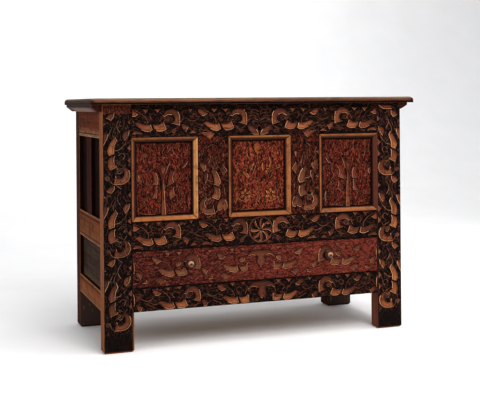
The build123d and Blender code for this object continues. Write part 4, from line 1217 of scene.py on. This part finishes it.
for i, (node, strip_light_and_shade) in enumerate(moulding_light_and_shade.items()):
    material, tree, point = new_material("oiled_" + node)
    seed = 90.0 + 11 * i
    level, level_fibres = bare_wood(tree, point, "x", "B5763F", "7C4726", seed)
    upright, upright_fibres = bare_wood(tree, point, "z", "AC7140", "74432A", seed + 40)
    above, below, nearest = off_faces(tree, point, node)
    sides = {0: nearest["X"], 1: nearest["Z"]}
    is_upright = add(tree, "Math", sides, operation="LESS_THAN")
    depth = add(tree, "Math", sides, operation="MINIMUM")
    off_mitre = add(tree, "Math", {0: add(tree, "Math", sides, operation="SUBTRACT")}, operation="ABSOLUTE")
    mitre = add(tree, "MapRange", {"Value": off_mitre, "From Min": off_mitre_mm * MM,
                                   "From Max": on_mitre_mm * MM})
    # A dark line along the outer edge: painted shadow where the moulding stands proud of the board.
    shadow_by_board = add(tree, "MapRange", {"Value": depth, "From Min": off_board_mm * MM,
                                      "From Max": at_board_mm * MM, "To Max": 0.8})
    tones, dirt_and_shade = [], []
    for (offset, axis), (light_and_shade_tone, share, unshaded_mm) in zip(
            [(above, "X"), (above, "Z"), (below, "X"), (below, "Z")], strip_light_and_shade):
        distance = add(tree, "SeparateXYZ", {"Vector": offset}).outputs[axis]
        farther = add(tree, "Math", {0: distance, 1: depth}, operation="SUBTRACT")
        here = add(tree, "Math", {0: farther, 1: same_distance_mm * MM}, operation="LESS_THAN")
        # Behind its clean width each strip turns dark with dirt and painted shade; the width is smaller on
        # the strips the light misses.
        dirt_and_shade_by_panel = add(tree, "MapRange", {"Value": depth, "From Min": unshaded_mm * MM,
                                          "From Max": (unshaded_mm + dirt_border_mm) * MM, "To Max": 0.9})
        tones.append((light_and_shade_tone, here, share))
        dirt_and_shade.append(("2A160E", here, dirt_and_shade_by_panel))
    blotches = mottle(tree, point, 26, 0.5, 0.75, seed + 7, detail=5.0)
    colour = coats(tree, level, (upright, is_upright), *tones, ("5A3220", blotches), *dirt_and_shade,
                   ("24130C", mitre), ("33190F", shadow_by_board))
    height = add(tree, "Mix", {"Factor": is_upright, "A": level_fibres, "B": upright_fibres})
    finish_surface(material, colour, height, 0.3)
    dress(node, material)
print("mouldings done")

# %% [markdown]
# ## The sides and the back
# The sides are plain. Their rails are the worn orange-brown of handled oak, the top rail and the back stiles
# are darker, and the panels behind them are almost black with old stain. The same boards stand on the right.

# %% Sides and back
side_tones = {
    "top_rail": ("7E4228", "4C2418", "A8806A", 0.8),
    "middle_rail": ("84502E", "58301E", "B88C60", 0.3),
    "bottom_rail": ("965A34", "623824", "BC8C5E", 0.3),
    "muntin": ("4A1E18", "2C110D", "6E3E2A"),
    "front_panel": ("2A1A15", "140C09", "33221A"),
    "rear_panel": ("241611", "120A08", "2E1E16"),
    "lower_panel": ("554439", "2E221C", "6A5646", 0.5),
}
for i, (part, tones) in enumerate(side_tones.items()):
    for side, seed in (("left_", 110.0), ("right_", 210.0)):
        frame_oak(side + part, seed + 8 * i, *tones)
for seed, node in ((301.0, "rear_left_stile"), (307.0, "rear_right_stile")):
    frame_oak(node, seed, "5C3225", "341B14", "8A5A40")
for i, node in enumerate(["rear_top_rail", "rear_middle_rail", "rear_bottom_rail", "rear_muntin"]):
    frame_oak(node, 313.0 + 7 * i, "7A563E", "4E3526", "9A7656")
for i, node in enumerate(["left_drawer_runner", "right_drawer_runner"]):
    frame_oak(node, 345.0 + 7 * i, "94694A", "664430", "A88260")
print("sides and back done")

# %% [markdown]
# ## Pine inside, pine lid
# Nobody painted what doesn't show. The floor of the chest, the panels at the back and the drawer's box are
# bare pine gone brown or grey. The lid's cleats are stained dark, and paler in the middle of their lower
# part. Pine has strong growth bands and faint pores.

# %% Pine
pine_boards = {
    "chest_floor_boards": ("B59068", "8C6A48"), "drawer_bottom_boards": ("AE8A62", "846344"),
    "drawer_left_side": ("A8835C", "7C5B3E"), "drawer_right_side": ("A8835C", "7C5B3E"),
    "drawer_back": ("A37E58", "775639"), "rear_left_panel": ("8D7962", "5F4F3F"),
    "rear_right_panel": ("8D7962", "5F4F3F"), "rear_lower_panel": ("8D7962", "5F4F3F"),
    "left_lid_cleat": ("5A3226", "2E1813"), "right_lid_cleat": ("5A3226", "2E1813"),
}
pine_worn_mm = 1.6
plain_off_middle_mm, pale_in_middle_mm = 210, 130
pale_below_top_from_mm, pale_below_top_to_mm = 9, 13
for i, (node, (light, dark)) in enumerate(pine_boards.items()):
    material, tree, point = new_material("pine_" + node)
    is_cleat = node.endswith("cleat")
    edge = "6E4C3A" if is_cleat else "C2A37C"
    seed = 401.0 + 13 * i
    colour, fibres = bare_wood(tree, point, grain_of(node), light, dark, seed, pine_pores)
    grime = mottle(tree, point, 60, 0.5, 0.8, seed + 31, detail=5.0)
    scratches = mottle(tree, point, along_grain(grain_of(node), 40, 2.5), 0.66, 0.74, seed + 44, detail=4.0)
    wear = worn_arris(tree, point, node, pine_worn_mm, seed)
    colour = coats(tree, colour, (darker(dark, 0.5), grime), (edge, scratches), (edge, wear))
    if is_cleat:
        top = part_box(node)[1].z
        midway = fade(tree, point, "Y", plain_off_middle_mm * MM, pale_in_middle_mm * MM, mirrored=True)
        low_down = fade(tree, point, "Z", top - pale_below_top_from_mm * MM, top - pale_below_top_to_mm * MM, 0.75)
        colour = coats(tree, colour, ("8E746A", midway, low_down))
    finish_surface(material, colour, fibres, 0.4, shine=(0.5, 0.7), gloss=0.05)
    dress(node, material)
print("pine done")

# %% [markdown]
# ### The lid's boards
# The lid is pine too, stained brown-red outside. Its top went grey-brown with wear. Round its edge the stain
# goes in bands: pale along the upper arris, which is rubbed and also a painted highlight, red-brown below,
# and black at the lower arris, a painted shadow of the gap over the rail. The bands are told apart by height,
# and noise makes their borders wander. The ends and the right half are darker.

# %% Lid boards
lid_woods = [("5E3628", "3A2019", pine_pores), ("84573E", "5C3C2C", pine_pores), ("7C6A56", "56453A", 0.3),
             ("A8835C", "7C5B3E", pine_pores)]
shadowed_edge_mm, stained_edge_mm, greyed_and_highlit_mm = 6.5, 10.0, 5.5
end_from_mm, end_to_mm = 16, 6
right_from_mm, right_to_mm = -100, 120
for i, node in enumerate(["lid_front_board", "lid_rear_board"]):
    material, tree, point = new_material("stained_" + node)
    low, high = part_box(node)
    seed = 501.0 + 17 * i
    woods = [bare_wood(tree, point, "x", light, dark, seed, pores) for light, dark, pores in lid_woods]
    stained, rubbed, greyed, bare = (colour for colour, fibres in woods)
    scratches = mottle(tree, point, (60, 3, 3), 0.64, 0.72, seed + 44, detail=4.0)
    rings = mottle(tree, point, 90, 0.52, 0.7, seed + 50)
    # Below the lowest border the edge is black, a painted shadow of the gap over the rail. The greyed top
    # band is wear, and on the front edge it is also a painted highlight.
    above_painted_shadow = past_height(tree, point, low.z + shadowed_edge_mm * MM, seed + 60)
    on_rubbed = past_height(tree, point, low.z + stained_edge_mm * MM, seed + 70)
    greyed_and_highlit_top = past_height(tree, point, high.z - greyed_and_highlit_mm * MM, seed + 80)
    at_end = fade(tree, point, "X", high.x - end_from_mm * MM, high.x - end_to_mm * MM, 0.85, mirrored=True)
    right_half = fade(tree, point, "X", right_from_mm * MM, right_to_mm * MM, 0.45)
    underneath = fade(tree, point, "Z", low.z + 0.4 * MM, low.z + 0.1 * MM)
    outside = coats(tree, stained, (rubbed, on_rubbed), ("44241B", right_half), ("341A13", at_end),
                    (greyed, greyed_and_highlit_top), ("3A241B", rings, 0.5), ("9A8268", scratches, 0.6))
    colour = coats(tree, "0B0605", (outside, above_painted_shadow), (bare, underneath))
    finish_surface(material, colour, woods[0][1], 0.4, shine=(0.5, 0.7), gloss=0.06)
    dress(node, material)
print("lid done")

# %% [markdown]
# ## Pins, knobs and iron
# Cleft oak pins hold the joints; those at the front went under the paint. The knobs are turned from a
# fruitwood and polished by generations of fingers: a pale ring, worn and kept mostly to its upper half as a
# painted highlight, lies between a dark eye and a rim darkened with painted shade. The lock and the nails are
# forged iron: a dark skin of oxide over metal, with rust in patches.

# %% Pins, knobs and iron
pins = {"front_joint_pins": ("y", "4A2A1D", "1E100B"), "rear_joint_pins": ("y", "7E5A40", "4C3424"),
        "side_joint_pins": ("x", "5E3826", "361E14"), "hinge_pins": ("x", "6E4A34", "42291C"),
        "lid_pins": ("z", "5A382C", "33201A")}
for i, (node, tones) in enumerate(pins.items()):
    material, tree, point = new_material("cleft_" + node)
    colour, fibres = bare_wood(tree, point, *tones, 600.0 + 9 * i)
    finish_surface(material, colour, fibres, 0.3)
    dress(node, material)

# The radii in millimetres between which the knob's eye, its rubbed ring with its painted highlight and the
# painted shade at its rim fade in.
eye_fade, rubbed_and_highlit_fade, rim_shade_fade = (4.6, 3.4), (11.5, 8.5), (13.0, 15.0)
for i, node in enumerate(["left_drawer_knob", "right_drawer_knob"]):
    material, tree, point = new_material("turned_" + node)
    low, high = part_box(node)
    x, y, z = (low + high) / 2
    colour, fibres = bare_wood(tree, point, "y", "6E3A28", "3A1A12", 650.0 + 17 * i)
    blotches = mottle(tree, point, 9, 0.5, 0.75, 660.0 + i, detail=4.0)
    # The ring is pale with wear and kept mostly to the upper half as a painted highlight; the rim is darkened
    # as painted shade.
    rubbed = fade_round(tree, point, x, z, *rubbed_and_highlit_fade, 0.9)
    upper = fade(tree, point, "Z", z - 3 * MM, z + 4 * MM, least=0.15)
    shaded_rim = fade_round(tree, point, x, z, *rim_shade_fade, 0.9)
    eye = fade_round(tree, point, x, z, *eye_fade)
    colour = coats(tree, colour, ("2A120B", blotches), ("C4946C", rubbed, upper), ("1C0C08", shaded_rim),
                   ("120806", eye))
    finish_surface(material, colour, fibres, 0.15, shine=(0.24, 0.38), gloss=0.5)
    dress(node, material)

for i, node in enumerate(["lock_case", "lock_bolt", "lid_staple", "drawer_nails"]):
    material, tree, point = new_material("forged_" + node)
    seed = 700.0 + 11 * i
    rust = mottle(tree, point, 9, 0.5, 0.68, seed, detail=6.0)
    hammered = mottle(tree, point, 5, 0.3, 0.7, seed + 4, detail=2.0)
    colour = coats(tree, "3B3735", ("2A2725", hammered), ("5B3423", rust))
    metal = add(tree, "MapRange", {"Value": rust, "To Min": 0.9, "To Max": 0.1})
    finish_surface(material, colour, hammered, 0.4, shine=(0.42, 0.7), metal=metal)
    dress(node, material)
print("pins, knobs and iron done")

# %% [markdown]
# ## Backdrop
# A sheet of pale paper: flat under the chest, then a quarter circle, then straight up. The bend has no line
# where floor and wall would meet.

# %% Backdrop
sweep_half_width, sweep_front, sweep_bend_start = 9.0, -6.0, 2.4
sweep_bend_radius, sweep_height, sweep_steps = 2.6, 5.0, 32
sweep = bmesh.new()
line = [sweep.verts.new((x, sweep_front, 0)) for x in (-sweep_half_width, sweep_half_width)]
flat_part = bmesh.ops.extrude_edge_only(sweep, edges=[sweep.edges.new(line)])["geom"]
moved = [g for g in flat_part if isinstance(g, bmesh.types.BMVert)]
bmesh.ops.translate(sweep, vec=(0, sweep_bend_start - sweep_front, 0), verts=moved)
edge = next(e for e in sweep.edges if all(v in moved for v in e.verts))
bend = bmesh.ops.spin(sweep, geom=[edge, *moved], cent=(0, sweep_bend_start, sweep_bend_radius),
                      axis=(1, 0, 0), angle=math.pi / 2, steps=sweep_steps)["geom_last"]
bend_edges = [g for g in bend if isinstance(g, bmesh.types.BMEdge)]
rise = bmesh.ops.extrude_edge_only(sweep, edges=bend_edges)["geom"]
risen = [g for g in rise if isinstance(g, bmesh.types.BMVert)]
bmesh.ops.translate(sweep, vec=(0, 0, sweep_height), verts=risen)
bmesh.ops.recalc_face_normals(sweep, faces=sweep.faces)
for face in sweep.faces:
    face.smooth = True
sweep_data = bpy.data.meshes.new("paper_sweep")
sweep.to_mesh(sweep_data)
sweep.free()
paper_sweep = bpy.data.objects.new("paper_sweep", sweep_data)
bpy.context.scene.collection.objects.link(paper_sweep)
material, tree, point = new_material("matt_paper")
paper = coats(tree, "F3F3F3", ("EFEFEF", mottle(tree, point, 300, 0.3, 0.7, 3.0)))
shader = add(tree, "BsdfPrincipled", {"Base Color": paper, "Roughness": 0.95, "IOR": 1.5})
add(tree, "OutputMaterial", {"Surface": shader})
sweep_data.materials.append(material)
print("backdrop done:", [round(v, 2) for v in paper_sweep.dimensions])
